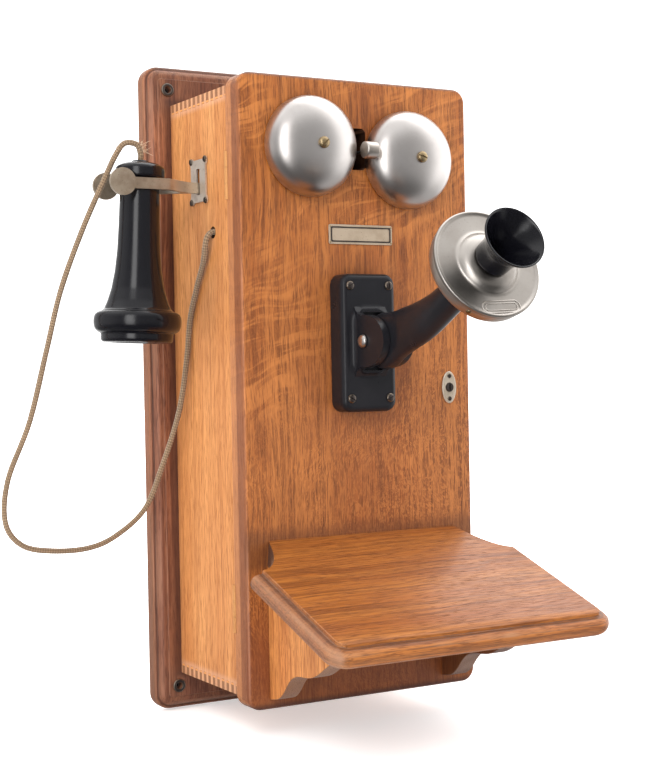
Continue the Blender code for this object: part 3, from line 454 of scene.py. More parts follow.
def rounded_rect(x0, x1, z0, z1, radius, count=10):
    out = []
    corners = ((x1, z1, -1, -1, 0), (x0, z1, 1, -1, 90), (x0, z0, 1, 1, 180), (x1, z0, -1, 1, 270))
    for x, z, sx, sz, first in corners:
        out += arc((x + sx * radius, z + sz * radius), radius, first, first + 90, count)
    return out


def moulded_board(x0, x1, z0, z1, corner, y_rear, levels, soften):
    """An upright board whose edge steps in by (inset, depth) levels from rear to front."""
    loops = []
    for inset, depth in ease(levels, soften, 3, closed=False):
        outline = rounded_rect(x0 + inset, x1 - inset, z0 + inset, z1 - inset,
                               max(corner - inset, 1.5))
        loops.append([(x, y_rear - depth, z) for x, z in outline])
    return loft(loops)


def to_object(name, bm):
    bm.normal_update()
    bmesh.ops.recalc_face_normals(bm, faces=bm.faces)
    if bm.calc_volume(signed=True) < 0:
        bmesh.ops.reverse_faces(bm, faces=bm.faces)
    bmesh.ops.scale(bm, verts=bm.verts, vec=(MM, MM, MM))
    mesh = bpy.data.meshes.new(name)
    bm.to_mesh(mesh)
    bm.free()
    obj = bpy.data.objects.new(name, mesh)
    bpy.context.scene.collection.objects.link(obj)
    return obj


def combine(obj, cutters, operation="DIFFERENCE"):
    """Cut or join the object with tool bodies, and keep the result."""
    tools = []
    for i, cutter in enumerate(cutters):
        tool = to_object(f"{obj.name}_tool", cutter)
        mod = obj.modifiers.new(f"tool_{i}", "BOOLEAN")
        mod.operation = operation
        mod.object = tool
        tools.append(tool)
    graph = bpy.context.evaluated_depsgraph_get()
    mesh = bpy.data.meshes.new_from_object(obj.evaluated_get(graph))
    obj.modifiers.clear()
    obj.data = mesh
    for tool in tools:
        bpy.data.objects.remove(tool, do_unlink=True)
    return obj


def piece(name, shape, look, body, replaces=(), angle=32, bevel=0.0, segments=3):
    """Finish a bmesh or an object as a named piece: shading, edges, look, and what it rides on."""
    obj = shape if isinstance(shape, bpy.types.Object) else to_object(name, shape)
    obj.name = name
    obj.data.name = name
    obj.data.materials.clear()
    obj.data.materials.append(LOOKS[look])
    obj.data.shade_smooth()
    obj.data.set_sharp_from_angle(angle=radians(angle))
    if bevel:
        mod = obj.modifiers.new("edges", "BEVEL")
        mod.width = bevel * MM
        mod.segments = segments
        mod.limit_method = "ANGLE"
        mod.angle_limit = radians(40)
        mod.harden_normals = False
        obj.data.shade_smooth()
        smooth = obj.modifiers.new("shading", "WEIGHTED_NORMAL")
        smooth.keep_sharp = False
    if replaces:
        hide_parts(*replaces)
    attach(obj, body)
    return obj


def turned(name, profile, soften, place, segments, look, body, replaces=()):
    """A piece turned about local Z: (radius, steps) soften its profile, which is a solid's if
    it starts on the axis and a ring's if not."""
    outline = ease(profile, *soften, closed=profile[0][0] > 0)
    return piece(name, revolve(outline, place, segments), look, body, replaces)


def screw(name, point, direction, radius, height, look, body, turn=0.4,
          replaces=()):
    """A round-headed wood screw's head with its slot."""
    place = along(point, direction)
    profile = [(0, -0.4), (radius, -0.4), (radius, height * 0.28), (radius * 0.86, height * 0.66),
               (radius * 0.5, height * 0.94), (0, height)]
    head = to_object(name, revolve(ease(profile, radius * 0.3, 3, closed=False), place, 40))
    gap = radius * 0.13
    groove = box(-radius * 1.2, radius * 1.2, -gap, gap, height * 0.45, height * 2)
    groove.transform(place @ Matrix.Rotation(turn, 4, "Z"))
    combine(head, [groove])
    return piece(name, head, look, body, replaces)


def spline(p, q, r, s, t):
    """A place a share t of the way from q to r on the smooth curve through all four."""
    return 0.5 * (2 * q + (r - p) * t + (2 * p - 5 * q + 4 * r - s) * t * t
                  + (3 * q - p - 3 * r + s) * t ** 3)


def smooth_path(points, step):
    """Points at even steps along a smooth curve through the route points."""
    pts = [Vector(p) for p in points]
    ends = [pts[0] * 2 - pts[1]] + pts + [pts[-1] * 2 - pts[-2]]
    fine = []
    for a, b, c, d in zip(ends, ends[1:], ends[2:], ends[3:]):
        fine += [spline(a, b, c, d, i / 24) for i in range(24)]
    fine.append(pts[-1])
    lengths = [0.0]
    for a, b in zip(fine, fine[1:]):
        lengths.append(lengths[-1] + (b - a).length)
    count = max(round(lengths[-1] / step), 2)
    out, j = [], 0
    for i in range(count + 1):
        target = lengths[-1] * i / count
        while j < len(fine) - 2 and lengths[j + 1] < target:
            j += 1
        span = lengths[j + 1] - lengths[j]
        out.append(fine[j].lerp(fine[j + 1], (target - lengths[j]) / span))
    return out


# ---------------------------------------------------------------- looks

def door_side(tone, place, x, y, z):
    """The door: dark at the front of its edge; painted shade under the shelf, round the transmitter
    base, above the shelf and in the bell slot; dark bottom, dusty top.
    """
    side = abs(x).between(0.1005, 0.1013)
    front = y.between(-0.1325, -0.1345)
    tone = mix(side * front * 0.72, tone, (0.20, 0.068, 0.030))
    tone = mix(side * (1.0 - front) * 0.45, tone, (0.48, 0.21, 0.095))
    ahead = y.between(-0.1400, -0.1435)
    # painted shade on the door front under the shelf
    tone = mix(z.between(-0.150, -0.205) * ahead * 0.62, tone, (0.17, 0.045, 0.016))
    # painted shade: a soft dark halo on the door front around the transmitter base
    away_x = (x + 0.0025) * 1.6
    away_z = z - 0.020
    away = (away_x * away_x + away_z * away_z).apply("SQRT")
    tone = mix(away.between(0.115, 0.040) * ahead * 0.30, tone, (0.16, 0.046, 0.014))
    # painted shade in the crease above the shelf, fading up the door front from the joint
    joint = z.between(-0.099, -0.1125) * z.between(-0.1400, -0.1300) * ahead
    tone = mix(joint * 0.55, tone, (0.11, 0.034, 0.013))
    tone = mix(z.between(-0.2330, -0.2375) * 0.75, tone, (0.05, 0.022, 0.016))
    tone = mix(z.between(0.2318, 0.2345) * 0.8, tone, GREY_DIRT)
    # painted shade inside the slot for the bell wire
    slot = abs(x).between(0.0085, 0.0078) * abs(z - 0.182).between(0.0175, 0.0162)
    return mix(slot * y.between(-0.1456, -0.1450) * 0.92, tone, (0.015, 0.008, 0.006))


def board_edge(tone, place, x, y, z):
    """The backboard: paler worn rim, painted shade along the quirk and on the field next to and inside
    the cabinet, darker low down and at the top of the field, dusty top.
    """
    tone = mix(y.between(-0.0128, -0.0108) * 0.50, tone, (0.26, 0.11, 0.050))
    # painted shade along the quirk groove of the edge moulding
    quirk = 1.0 - abs(y + 0.0126).between(0.0002, 0.0007)
    tone = mix(quirk * 0.8, tone, (0.06, 0.022, 0.014))
    ahead = y.between(-0.0120, -0.0160)
    # painted shade on the field next to the cabinet
    near = abs(x).between(0.1075, 0.1005) * abs(z).between(0.2370, 0.2310)
    tone = mix(near * ahead * 0.7, tone, (0.05, 0.018, 0.012))
    tone = mix(z.between(0.02, -0.20) * 0.45, tone, (0.07, 0.026, 0.016))
    # painted shade on the board inside the closed cabinet
    inside = abs(x).between(0.0990, 0.0980) * abs(z).between(0.2240, 0.2230)
    tone = mix(inside * ahead * 0.6, tone, (0.03, 0.014, 0.009))
    tone = mix(z.between(0.215, 0.240) * ahead * 0.45, tone, (0.05, 0.020, 0.014))
    return mix(z.between(0.2570, 0.2600) * 0.8, tone, GREY_DIRT)


def side_bands(tone, place, x, y, z):
    """The cabinet sides: pinkish, paler bands at the finger joints, painted shade inside the hook slot
    and cord hole.
    """
    tone = mix(abs(z + 0.00125).between(0.2165, 0.2215) * 0.45, tone, (0.62, 0.36, 0.24))
    tone = mix(y.between(-0.030, -0.019) * 0.35, tone, (0.36, 0.14, 0.06))
    left = x.between(0.0, -0.01)

    def near_hole(y0, z0, half_y, half_z):
        across = abs(y - y0).between(half_y, half_y - 0.0003)
        return across * abs(z - z0).between(half_z, half_z - 0.0005) * left

    # painted shade inside the hook slot and the cord hole
    slot = near_hole(-0.071, 0.1613, 0.0040, 0.0125)
    cord = near_hole(-0.0925, 0.120, 0.0055, 0.0055) * x.between(-0.09845, -0.0982)
    return mix(slot.apply("MAXIMUM", cord), tone, (0.012, 0.007, 0.005))


def finger_ends(tone, place, x, y, z):
    """The cabinet's top and bottom boards, with dark tips in the finger joints."""
    tip = abs(x).between(0.0965, 0.0980)
    tone = mix(tip, tone, (0.66, 0.29, 0.095))
    out = abs(z + 0.00125).between(0.2232, 0.2236)
    return mix(tip * out * 0.75, tone, (0.13, 0.062, 0.042))


def shelf_wear(tone, place, x, y, z):
    """The writing shelf's moulded rim is greyed and dirty, with dark worn lines along it."""
    depth = (y + 0.1459) * sin(SHELF_SLOPE) + (z + 0.1133) * -cos(SHELF_SLOPE)
    grime = place.noise(120.0, 3, 0.6)
    rim = depth.between(0.0006, 0.0020) * abs(x).between(0.1085, 0.1115)
    tone = mix(rim * 0.55, tone, (0.27, 0.135, 0.085))
    threads = (depth * (2 * pi / 0.0027) + 1.2).apply("SINE").between(0.25, 0.85)
    drag = place.stretched((35, 300, 300)).noise(1.0, 3, 0.6).between(0.36, 0.60)
    threads = threads * depth.between(0.0030, 0.0040) * drag
    tone = mix(threads * 0.60, tone, (0.12, 0.050, 0.022))
    quirk = depth.between(0.0023, 0.0028) * depth.between(0.0036, 0.0031)
    tone = mix(quirk * (grime * 1.2 + 0.05), tone, (0.09, 0.042, 0.028))
    groove = depth.between(0.0088, 0.0096) * depth.between(0.0112, 0.0102)
    tone = mix(groove * (grime * 0.9 - 0.1), tone, (0.09, 0.045, 0.03))
    ear = y.between(-0.1880, -0.1840) * depth.between(0.0006, 0.0016)
    return mix(ear * 0.85, tone, (0.045, 0.028, 0.026))


def bracket_grime_and_shade(tone, place, x, y, z):
    """The bracket's sawn scroll is grey with dirt and painted shade, and the right bracket is dark all
    over with painted shade.
    """
    middle = abs(abs(x) - 0.0772)
    # the scroll faces: dirt, with painted shade on the underside of the bracket
    tone = mix(middle.between(0.0073, 0.0069) * 0.75, tone, (0.15, 0.092, 0.065))
    # painted shade over the whole right bracket, under the shelf
    return mix(x.between(0.0, 0.01) * 0.80, tone, (0.085, 0.028, 0.013))


LOOKS = {
    "back": oak("oak_back", (0.43, 0.185, 0.093), (0.31, 0.112, 0.057), (0.105, 0.033, 0.020),
                seed=3.1, worn=(0.34, 0.165, 0.095), wear=0.5, rough=0.40, shade=board_edge),
    "side": oak("oak_side", (0.70, 0.32, 0.108), (0.57, 0.23, 0.070), (0.33, 0.105, 0.026),
                seed=1.7, worn=(0.80, 0.45, 0.25), rough=0.46, shade=side_bands, streak=0.75),
    "end": oak("oak_end", (0.60, 0.27, 0.10), (0.48, 0.20, 0.07), (0.28, 0.10, 0.035), grain="X",
               seed=5.3, rough=0.5, shade=finger_ends),
    "door": oak("oak_door", (0.43, 0.152, 0.037), (0.31, 0.093, 0.020), (0.115, 0.029, 0.007),
                flecks=0.75, seed=0.37, worn=(0.42, 0.20, 0.12), rough=0.40, shade=door_side),
    "shelf": oak("oak_shelf", (0.44, 0.155, 0.030), (0.34, 0.102, 0.018), (0.14, 0.036, 0.007),
                 grain="X", seed=2.3, worn=(0.46, 0.25, 0.14), wear=0.42, rough=0.38,
                 shade=shelf_wear, tilt=-SHELF_SLOPE),
    "bracket": oak("oak_bracket", (0.68, 0.285, 0.085), (0.55, 0.195, 0.052), (0.32, 0.095, 0.024),
                   seed=4.4, worn=(0.30, 0.20, 0.15), wear=0.7, rough=0.45, shade=bracket_grime_and_shade),
    "inner": oak("bare_wood", (0.60, 0.42, 0.24), (0.50, 0.33, 0.18), (0.32, 0.19, 0.10),
                 grain="X", seed=6.1, rough=0.62),
    "nickel": metal("nickel", (0.65, 0.615, 0.595), (0.43, 0.385, 0.355), rough=0.31, spots=0.05,
                    brushed=0.05, patina=0.22, cloudy=0.10),
    "dull_nickel": metal("dull_nickel", (0.52, 0.47, 0.42), (0.33, 0.28, 0.235), rough=0.33,
                         spots=0.4, wear=(0.70, 0.66, 0.62)),
    "face": metal("face_nickel", (0.31, 0.285, 0.26), (0.22, 0.19, 0.165), rough=0.32, spots=0.4,
                  wear=(0.62, 0.58, 0.54)),
    "worn": metal("tarnished_nickel", (0.46, 0.38, 0.29), (0.24, 0.175, 0.12), rough=0.40,
                  spots=0.6, wear=(0.60, 0.52, 0.43), patina=0.7, metallic=0.75),
    "escutcheon": metal("escutcheon_nickel", (0.62, 0.54, 0.46), (0.34, 0.26, 0.20), rough=0.36,
                        spots=0.6, wear=(0.70, 0.64, 0.56), patina=0.6, metallic=0.7),
    "brass": metal("brass", (0.46, 0.35, 0.20), (0.24, 0.16, 0.09), rough=0.36, spots=0.6),
    "plate": metal("name_plate", (0.48, 0.385, 0.285), (0.32, 0.24, 0.16), rough=0.50, spots=0.7,
                   brushed=0.8, wear=(0.82, 0.72, 0.58), metallic=0.5),
    "hinge": metal("aged_brass", (0.60, 0.29, 0.105), (0.46, 0.20, 0.07), rough=0.55, spots=0.3,
                   metallic=0.4),
    "steel": metal("steel", (0.36, 0.36, 0.37), (0.20, 0.185, 0.17), rough=0.40, spots=0.5),
    "ivory": metal("pale_nickel", (0.54, 0.47, 0.38), (0.32, 0.25, 0.18), rough=0.45, spots=0.6,
                   wear=(0.74, 0.68, 0.58), metallic=0.6),
    "slot_dark": metal("screw_dark", (0.10, 0.085, 0.08), (0.05, 0.035, 0.03), rough=0.45,
                       wear=(0.32, 0.26, 0.20)),
    "japan": enamel("japanned_iron", (0.010, 0.0100, 0.0125), (0.034, 0.031, 0.036), rough=0.30,
                    wear=0.0, dust=0.15, shine=0.26),
    "rubber": enamel("hard_rubber", (0.0035, 0.0035, 0.0055), (0.018, 0.015, 0.018), rough=0.17,
                     wear=0.0, dust=0.04, shine=0.44),
    "magnet": enamel("magnet_paint", (0.085, 0.018, 0.014), (0.20, 0.15, 0.12), rough=0.46,
                     wear=0.7, dust=0.3),
    "coil": enamel("coil_winding", (0.15, 0.065, 0.028), (0.30, 0.20, 0.12), rough=0.5, dust=0.5),
    "cell": enamel("cell_sleeve", (0.32, 0.27, 0.20), (0.18, 0.12, 0.08), rough=0.8, dust=0.6),
    "thread": enamel("fray_thread", (0.62, 0.46, 0.32), (0.36, 0.25, 0.17), rough=0.85, dust=0.8,
                     wear=0.0, shine=0.1),
    "hole": enamel("shadow_hole", (0.006, 0.005, 0.005), (0.02, 0.015, 0.012), rough=0.8),
    "cloth": braid_cloth("cord_cloth"),
}

KEPT = {
    "side": ("cabinet_left_side", "cabinet_right_side"),
    "end": ("cabinet_top", "cabinet_bottom"),
    "inner": ("battery_shelf",),
    "hinge": ("hinge_upper_cabinet", "hinge_lower_cabinet", "hinge_upper_door",
              "hinge_lower_door"),
    "brass": ("hook_springs", "carbon_capsule"),
    "japan": ("hook_bracket",),
    "steel": ("magneto_frame", "magneto_armature", "crank_shaft",
              "ringer_frame", "ringer_armature", "receiver_diaphragm", "receiver_magnet"),
    "magnet": ("magneto_magnet_1", "magneto_magnet_2"),
    "coil": ("ringer_coil_left", "ringer_coil_right", "induction_coil"),
    "cell": ("dry_cell_left", "dry_cell_right"),
    "worn": ("crank_arm",),
    "rubber": ("crank_knob",),
}


def dress_kept_nodes():
    for look, names in KEPT.items():
        for name in names:
            nodes[name].data.materials.clear()
            nodes[name].data.materials.append(LOOKS[look])


# ---------------------------------------------------------------- woodwork

BOARD = (-119.5, 119.5, -260.5, 260.5, 13.0)
MOUNTS = [(x, z) for z in (241.2, -241.2) for x in (-101.0, 101.0)]
DOOR_REAR, DOOR_FRONT = -123.6, -145.6
HINGE_X = -100.9
LOCK = (81.2, -2.8)


def build_backboard():
    edge = [(0.8, 0), (0, 0.8), (0, 10.6), (0.7, 12.0), (2.9, 12.4), (3.2, 13.2), (4.3, 15.1),
            (6.8, 16.7), (9.6, 17.0), (10.5, 17.1), (10.8, 18.0)]
    board = to_object("oak_backboard", moulded_board(*BOARD, 0, edge, 1.0))
    combine(board, [rod((x, 5, z), (x, -30, z), 2.9) for x, z in MOUNTS])
    piece("oak_backboard", board, "back", "cabinet", ["backboard"])
    ring = [(2.75, 0.05), (5.4, 0), (5.35, 0.5), (4.7, 1.05), (3.7, 1.2), (2.75, 0.9)]
    for i, (x, z) in enumerate(MOUNTS):
        turned(f"grommet_{i + 1}", ring, (0.4, 3), along((x, -18.3, z), (0, -1, 0)), 48,
               "slot_dark", "cabinet", [f"wall_grommet_{i + 1}"])
        plug = [(0, 0), (2.6, 0), (2.6, 1.0), (0, 1.0)]
        piece(f"grommet_shadow_{i + 1}", revolve(plug, along((x, -10, z), (0, -1, 0)), 24),
              "hole", "cabinet")


def build_door():
    edge = [(1.0, 0), (0, 1.0), (0, 19.2), (0.5, 20.8), (1.5, 21.7), (3.0, 22.0)]
    door = to_object("oak_door", moulded_board(-101.7, 101.7, -239.2, 234.9, 11.0, DOOR_REAR,
                                               edge, 0.8))
    lock_x, lock_z = LOCK
    cuts = [prism(rounded_rect(-7.5, 7.5, 166, 198, 4.0), 1, -160, -110),
            rod((lock_x, -160, lock_z), (lock_x, -110, lock_z), 3.8)]
    for z in (160.0, -165.0):
        for x0, x1, deep in ((-6, 2.5, 2.6), (0, 10.4, 1.5)):
            cuts.append(box(HINGE_X + x0, HINGE_X + x1, DOOR_REAR - deep, DOOR_REAR + 4,
                            z - 18.4, z + 18.4))
    for cut in cuts:
        combine(door, [cut])
    piece("oak_door", door, "door", "door", ["door"])

    plate = prism(rounded_rect(-27.0, 29.6, 108.9, 123.8, 1.4), 1, DOOR_FRONT - 1.05,
                  DOOR_FRONT - 0.2)
    plate = to_object("blank_plate", plate)
    piece("blank_plate", plate, "plate", "door", ["nameplate"], bevel=0.25)
    rim = [(-25.4, 28.0, 110.5, 122.2), (-24.4, 27.0, 111.5, 121.2)]
    outer, inner = (rounded_rect(*r, 1.2) for r in rim)
    y0, y1 = DOOR_FRONT - 1.0, DOOR_FRONT - 1.5
    frame_line = loft([[(x, y0, z) for x, z in outer], [(x, y1, z) for x, z in outer],
                       [(x, y1, z) for x, z in inner], [(x, y0, z) for x, z in inner]], ring=True)
    piece("plate_border", frame_line, "slot_dark", "door")
    for side, x in (("left", -25.9), ("right", 28.5)):
        for row, z in (("low", 110.2), ("high", 122.5)):
            screw(f"plate_pin_{side}_{row}", (x, DOOR_FRONT - 1.0, z), (0, -1, 0), 0.7, 0.5,
                  "brass", "door")

    levels = ((0, 0.1), (0, 0.5), (0.25, 0.9), (0.7, 1.2), (1.3, 1.25))
    shape = [[(lock_x + (6.7 - inset) * s, DOOR_FRONT - depth, lock_z + (12.7 - inset) * c)
              for c, s in circle(64)] for inset, depth in levels]
    cover = combine(to_object("lock_cover", loft(shape)),
                    [rod((lock_x, -160, lock_z), (lock_x, -140, lock_z), 3.8)])
    piece("lock_cover", cover, "ivory", "door", ["lock_escutcheon"])
    for side, z in (("top", 9.0), ("bottom", -9.0)):
        screw(f"lock_cover_screw_{side}", (lock_x, DOOR_FRONT - 1.15, lock_z + z), (0, -1, 0),
              1.9, 0.8, "slot_dark", "door", turn=0.5 + z)
    spindle = to_object("lock_spindle", rod((lock_x, DOOR_REAR + 3.4, lock_z),
                                            (lock_x, DOOR_FRONT - 1.9, lock_z), 3.4, 48))
    cam = arc(LOCK, 4.6, 0, 180, 20) + arc((lock_x, lock_z - 8), 3.6, 180, 360, 20)
    combine(spindle, [prism(cam, 1, DOOR_REAR + 2.2, DOOR_REAR + 5.4)], "UNION")
    combine(spindle, [box(lock_x - 0.6, lock_x + 0.6, DOOR_FRONT - 3, DOOR_FRONT + 2,
                          lock_z - 2.4, lock_z + 2.4)])
    piece("lock_spindle", spindle, "slot_dark", "lock", ["lock_bolt"], bevel=0.2)


def build_shelf():
    out = Vector((0, -cos(SHELF_SLOPE), -sin(SHELF_SLOPE)))
    down = Vector((0, sin(SHELF_SLOPE), -cos(SHELF_SLOPE)))
    hinge = Vector((0, DOOR_FRONT - 0.3, -113.3))

    def outline(grow):
        w, s, r = 110.5 + grow, 158.5 + grow, 8.0 + grow
        ear = (Vector((83.0, 0)), Vector((93.0, 40.5)), Vector((w, 45.0)))
        half = [tuple(bend(*ear, i / 20)) for i in range(21)]
        half += arc((w - r, s - r), r, 0, 90, 16)
        return half + [(-a, b) for a, b in reversed(half)]

    edge = [(-0.7, 0), (0.1, 0.5), (0.1, 2.9), (0.7, 3.3), (2.9, 3.2), (5.6, 4.1), (7.6, 5.8),
            (8.5, 8.4), (8.4, 11.0), (7.2, 13.6), (4.8, 15.9), (2.2, 17.0)]
    loops = [[tuple(hinge + Vector((x, 0, 0)) + out * s + down * depth) for x, s in outline(grow)]
             for grow, depth in ease(edge, 0.6, 3, closed=False)]
    shelf = to_object("oak_shelf", loft(loops))
    combine(shelf, [box(-150, 150, DOOR_FRONT - 0.3, DOOR_FRONT + 30, -180, -80)])
    piece("oak_shelf", shelf, "shelf", "door", ["writing_shelf"], angle=42)

    z_under = -113.3 - 17.3 / cos(SHELF_SLOPE)
    y0, y1 = DOOR_FRONT - 0.3, -256.0
    scroll = [(y0, -231.5), (-158, -229.5), (-164, -225.8), (-169, -221), (-174, -215),
              (-181, -209.6), (-190, -206.8), (-200, -206.3), (-209, -205.0), (-218, -201.5),
              (-228, -195.5), (-239, -189.5), (-250, -186.0), (-254, -183.0)]
    foot = [(y1, z_under - (y0 - y1) * tan(SHELF_SLOPE)), (y0, z_under)]
    profile = ease(scroll, 9.0, 4, closed=False) + foot
    for side, sign in (("left", -1), ("right", 1)):
        low, high = sorted((sign * 84.7, sign * 69.7))
        piece(f"oak_bracket_{side}", prism(profile, 0, low, high), "bracket", "door",
              [f"shelf_bracket_{side}"], bevel=0.7)


# ---------------------------------------------------------------- bells

def build_bells():
    def dome(radius, height):
        power = 2 / 2.4
        quarter = (radians(90 * i / 36) for i in range(37))
        both = ((radius * abs(cos(a)) ** power, height * sin(a) ** power) for a in quarter)
        return [(r, h) for r, h in both if r > 3.2]

    for side, x, z in (("left", -43.6, 181.6), ("right", 43.1, 175.2)):
        place = along((x, -148.0, z), (0, -1, 0))
        profile = dome(38.0, 22.5) + [(2.6, 22.5), (2.6, 20.9)] + dome(36.4, 20.9)[::-1]
        piece(f"bell_{side}", revolve(profile, place, 128), "nickel", "door",
              [f"gong_{side}"])
        screw(f"bell_screw_{side}", (x, -170.9, z), (0, -1, 0), 4.4, 2.7, "brass", "door",
              turn=0.7 if side == "left" else -0.3, replaces=[f"gong_screw_{side}"])
        post = [(0, 0), (8.0, 0), (8.0, 2.2), (6.2, 3.2), (5.4, 5.0), (5.4, 22.7), (0, 22.7)]
        turned(f"bell_post_{side}", post, (0.5, 3), along((x, -145.9, z), (0, -1, 0)), 48,
               "dull_nickel", "door", [f"gong_post_{side}"])
    barrel = [(0, 0), (5.8, 0), (6.6, 0.9), (6.6, 10.1), (5.8, 11), (0, 11)]
    turned("bell_clapper", barrel, (0.5, 3), along((-5.5, -164.5, 179.0), (1, 0, 0)), 64,
           "dull_nickel", "clapper", ["clapper"])
    bend = [(0, -106 - 6 + 6 * cos(a), 173 + 6 * sin(a)) for a in
            (radians(90 * i / 8) for i in range(9))]
    tube_piece("bell_wire", [(0, -106, 123.9)] + bend + [(0, -157.6, 179)], 1.3, "steel",
               "clapper", ["clapper_rod"])


def tube_rows(points, radius, segments=20, swell=None):
    """Rings round a line of points, with their frames carried along without twist."""
    pts = [Vector(p) for p in points]
    tangents = [(b - a).normalized() for a, b in zip(pts, pts[1:])]
    tangents = [tangents[0]] + [(a + b).normalized() for a, b in zip(tangents, tangents[1:])] + [
        tangents[-1]]
    normal = tangents[0].orthogonal().normalized()
    rows = []
    for i, (point, tangent) in enumerate(zip(pts, tangents)):
        normal = (normal - tangent * normal.dot(tangent)).normalized()
        other = tangent.cross(normal)
        row = []
        for k, (c, s) in enumerate(circle(segments)):
            r = radius * (swell(i, k / segments) if swell else 1.0)
            row.append(point + normal * (r * c) + other * (r * s))
        rows.append(row)
    return rows


def tube_piece(name, points, radius, look, body, replaces=(), segments=20):
    return piece(name, loft(tube_rows(points, radius, segments)), look, body, replaces)


# ---------------------------------------------------------------- transmitter

ARM_X = -2.5
PIVOT = (ARM_X, -177.0, 34.0)
FACE_CENTRE = Vector((ARM_X, -315.4, 82.7))


def pivot_bore():
    return rod((ARM_X - 30, *PIVOT[1:]), (ARM_X + 30, *PIVOT[1:]), 3.3)


def face_axis():
    tilt, turn = radians(24.05), radians(-3.0)
    return Vector((sin(turn) * cos(tilt), -cos(turn) * cos(tilt), sin(tilt)))


def build_arm():
    levels = [(0, 0.3), (0, 13.6), (0.5, 15.4), (1.8, 17.2), (3.6, 17.9), (4.6, 18.0)]
    base = to_object("iron_base", moulded_board(ARM_X - 24, ARM_X + 24, -19.5, 85.5, 8.5,
                                                DOOR_FRONT, levels, 1.2))
    plate_y = DOOR_FRONT - 18
    flare = ease([(plate_y + 3, 29.0), (plate_y - 0.6, 26.0), (plate_y - 2.6, 22.6),
                  (plate_y - 6.0, 20.2)], 2.0, 3, closed=False)
    nose = [(PIVOT[1] + 27.4 * cos(radians(a)), 19.6 * sin(radians(a))) for a in range(82, 279, 4)]
    ear = [(y, 34 + z) for y, z in flare + nose + [(y, -z) for y, z in reversed(flare)]]
    for low, high in ((8.0, 13.7), (-13.7, -8.0)):
        combine(base, [prism(ear, 0, ARM_X + low, ARM_X + high)], "UNION")
    swell = [(0, 0), (0, 1.0), (1.8, 1.2), (3.6, 2.0), (4.8, 3.6), (5.2, 5.4)]
    mound = moulded_board(ARM_X - 19.0, ARM_X + 19.0, 5.0, 63.0, 14.0, plate_y + 1, swell, 1.2)
    combine(base, [mound], "UNION")
    combine(base, [box(ARM_X - 8.0, ARM_X + 8.0, plate_y - 20, plate_y - 0.2, 12.0, 56.0)])
    combine(base, [pivot_bore()])
    piece("iron_base", base, "japan", "door", ["transmitter_base"], bevel=0.9)
    for i, (x, z) in enumerate(((-19.5, 76.4), (14.6, 76.4), (-19.5, -9.0), (14.6, -9.0))):
        screw(f"base_screw_{i + 1}", (x, plate_y - 0.1, z), (0, -1, 0), 3.4, 1.7,
              "slot_dark", "door", turn=0.6 + i)
    bolt = [(0, 0), (3.0, 0.15), (4.6, 1.1), (5.2, 2.4), (5.2, 3.35), (3.0, 3.4), (3.0, 31.4),
            (5.0, 31.4), (5.0, 34.2), (0, 34.2)]
    start = ARM_X - 13.7 - 0.3 - 3.4
    turned("pivot_bolt", bolt, (0.5, 3), along((start, *PIVOT[1:]), (1, 0, 0)), 48, "nickel",
           "door", ["arm_bolt"])

    axis = face_axis()
    back = FACE_CENTRE - axis * 14.2
    sections = [(-165.6, 34.0, 3.6, 6.2), (-168.5, 34.0, 8.0, 7.7), (-174, 34.0, 14.0, 7.7),
                (-183, 34.0, 20.2, 7.7), (-193, 34.2, 20.2, 7.7), (-206, 38.5, 17.4, 7.7),
                (-219, 42.2, 15.9, 9.6), (-232, 45.6, 14.8, 10.5), (-245, 49.8, 13.7, 10.8),
                (-258, 55.2, 12.3, 10.8), (-272, 62.0, 11.4, 10.8)]
    count = 64

    def ring_at(y, z, tall, wide):
        blend = min(max((-195 - y) / 30, 0), 1)
        power = 0.45 + 0.55 * blend
        ring = []
        for c, s in circle(count):
            cx = copysign(abs(c) ** power, c)
            sz = copysign(abs(s) ** power, s)
            ring.append((ARM_X + wide * cx, y + 0.30 * blend * tall * sz, z + tall * sz))
        return ring

    rows = []
    for a, b, c, d in zip([sections[0]] + sections, sections, sections[1:],
                          sections[2:] + [sections[-1]]):
        rows += [[spline(*four, k / 4) for four in zip(a, b, c, d)] for k in range(4)]
    rows.append(sections[-1])
    loops = [ring_at(*row) for row in rows]
    side = Vector((0, 0, 1)).cross(axis).normalized()
    up = axis.cross(side)
    for off, r in ((11.0, 10.7), (8.0, 10.6), (5.4, 10.8), (4.2, 11.8), (3.6, 14.2), (3.1, 14.9),
                   (1.0, 15.0), (0.4, 14.7)):
        centre = back - axis * off
        loops.append([centre + side * (r * c) + up * (r * s) for c, s in circle(count)])
    arm = combine(to_object("iron_arm", loft(loops)), [pivot_bore()])
    piece("iron_arm", arm, "japan", "transmitter", ["transmitter_arm"], angle=50)


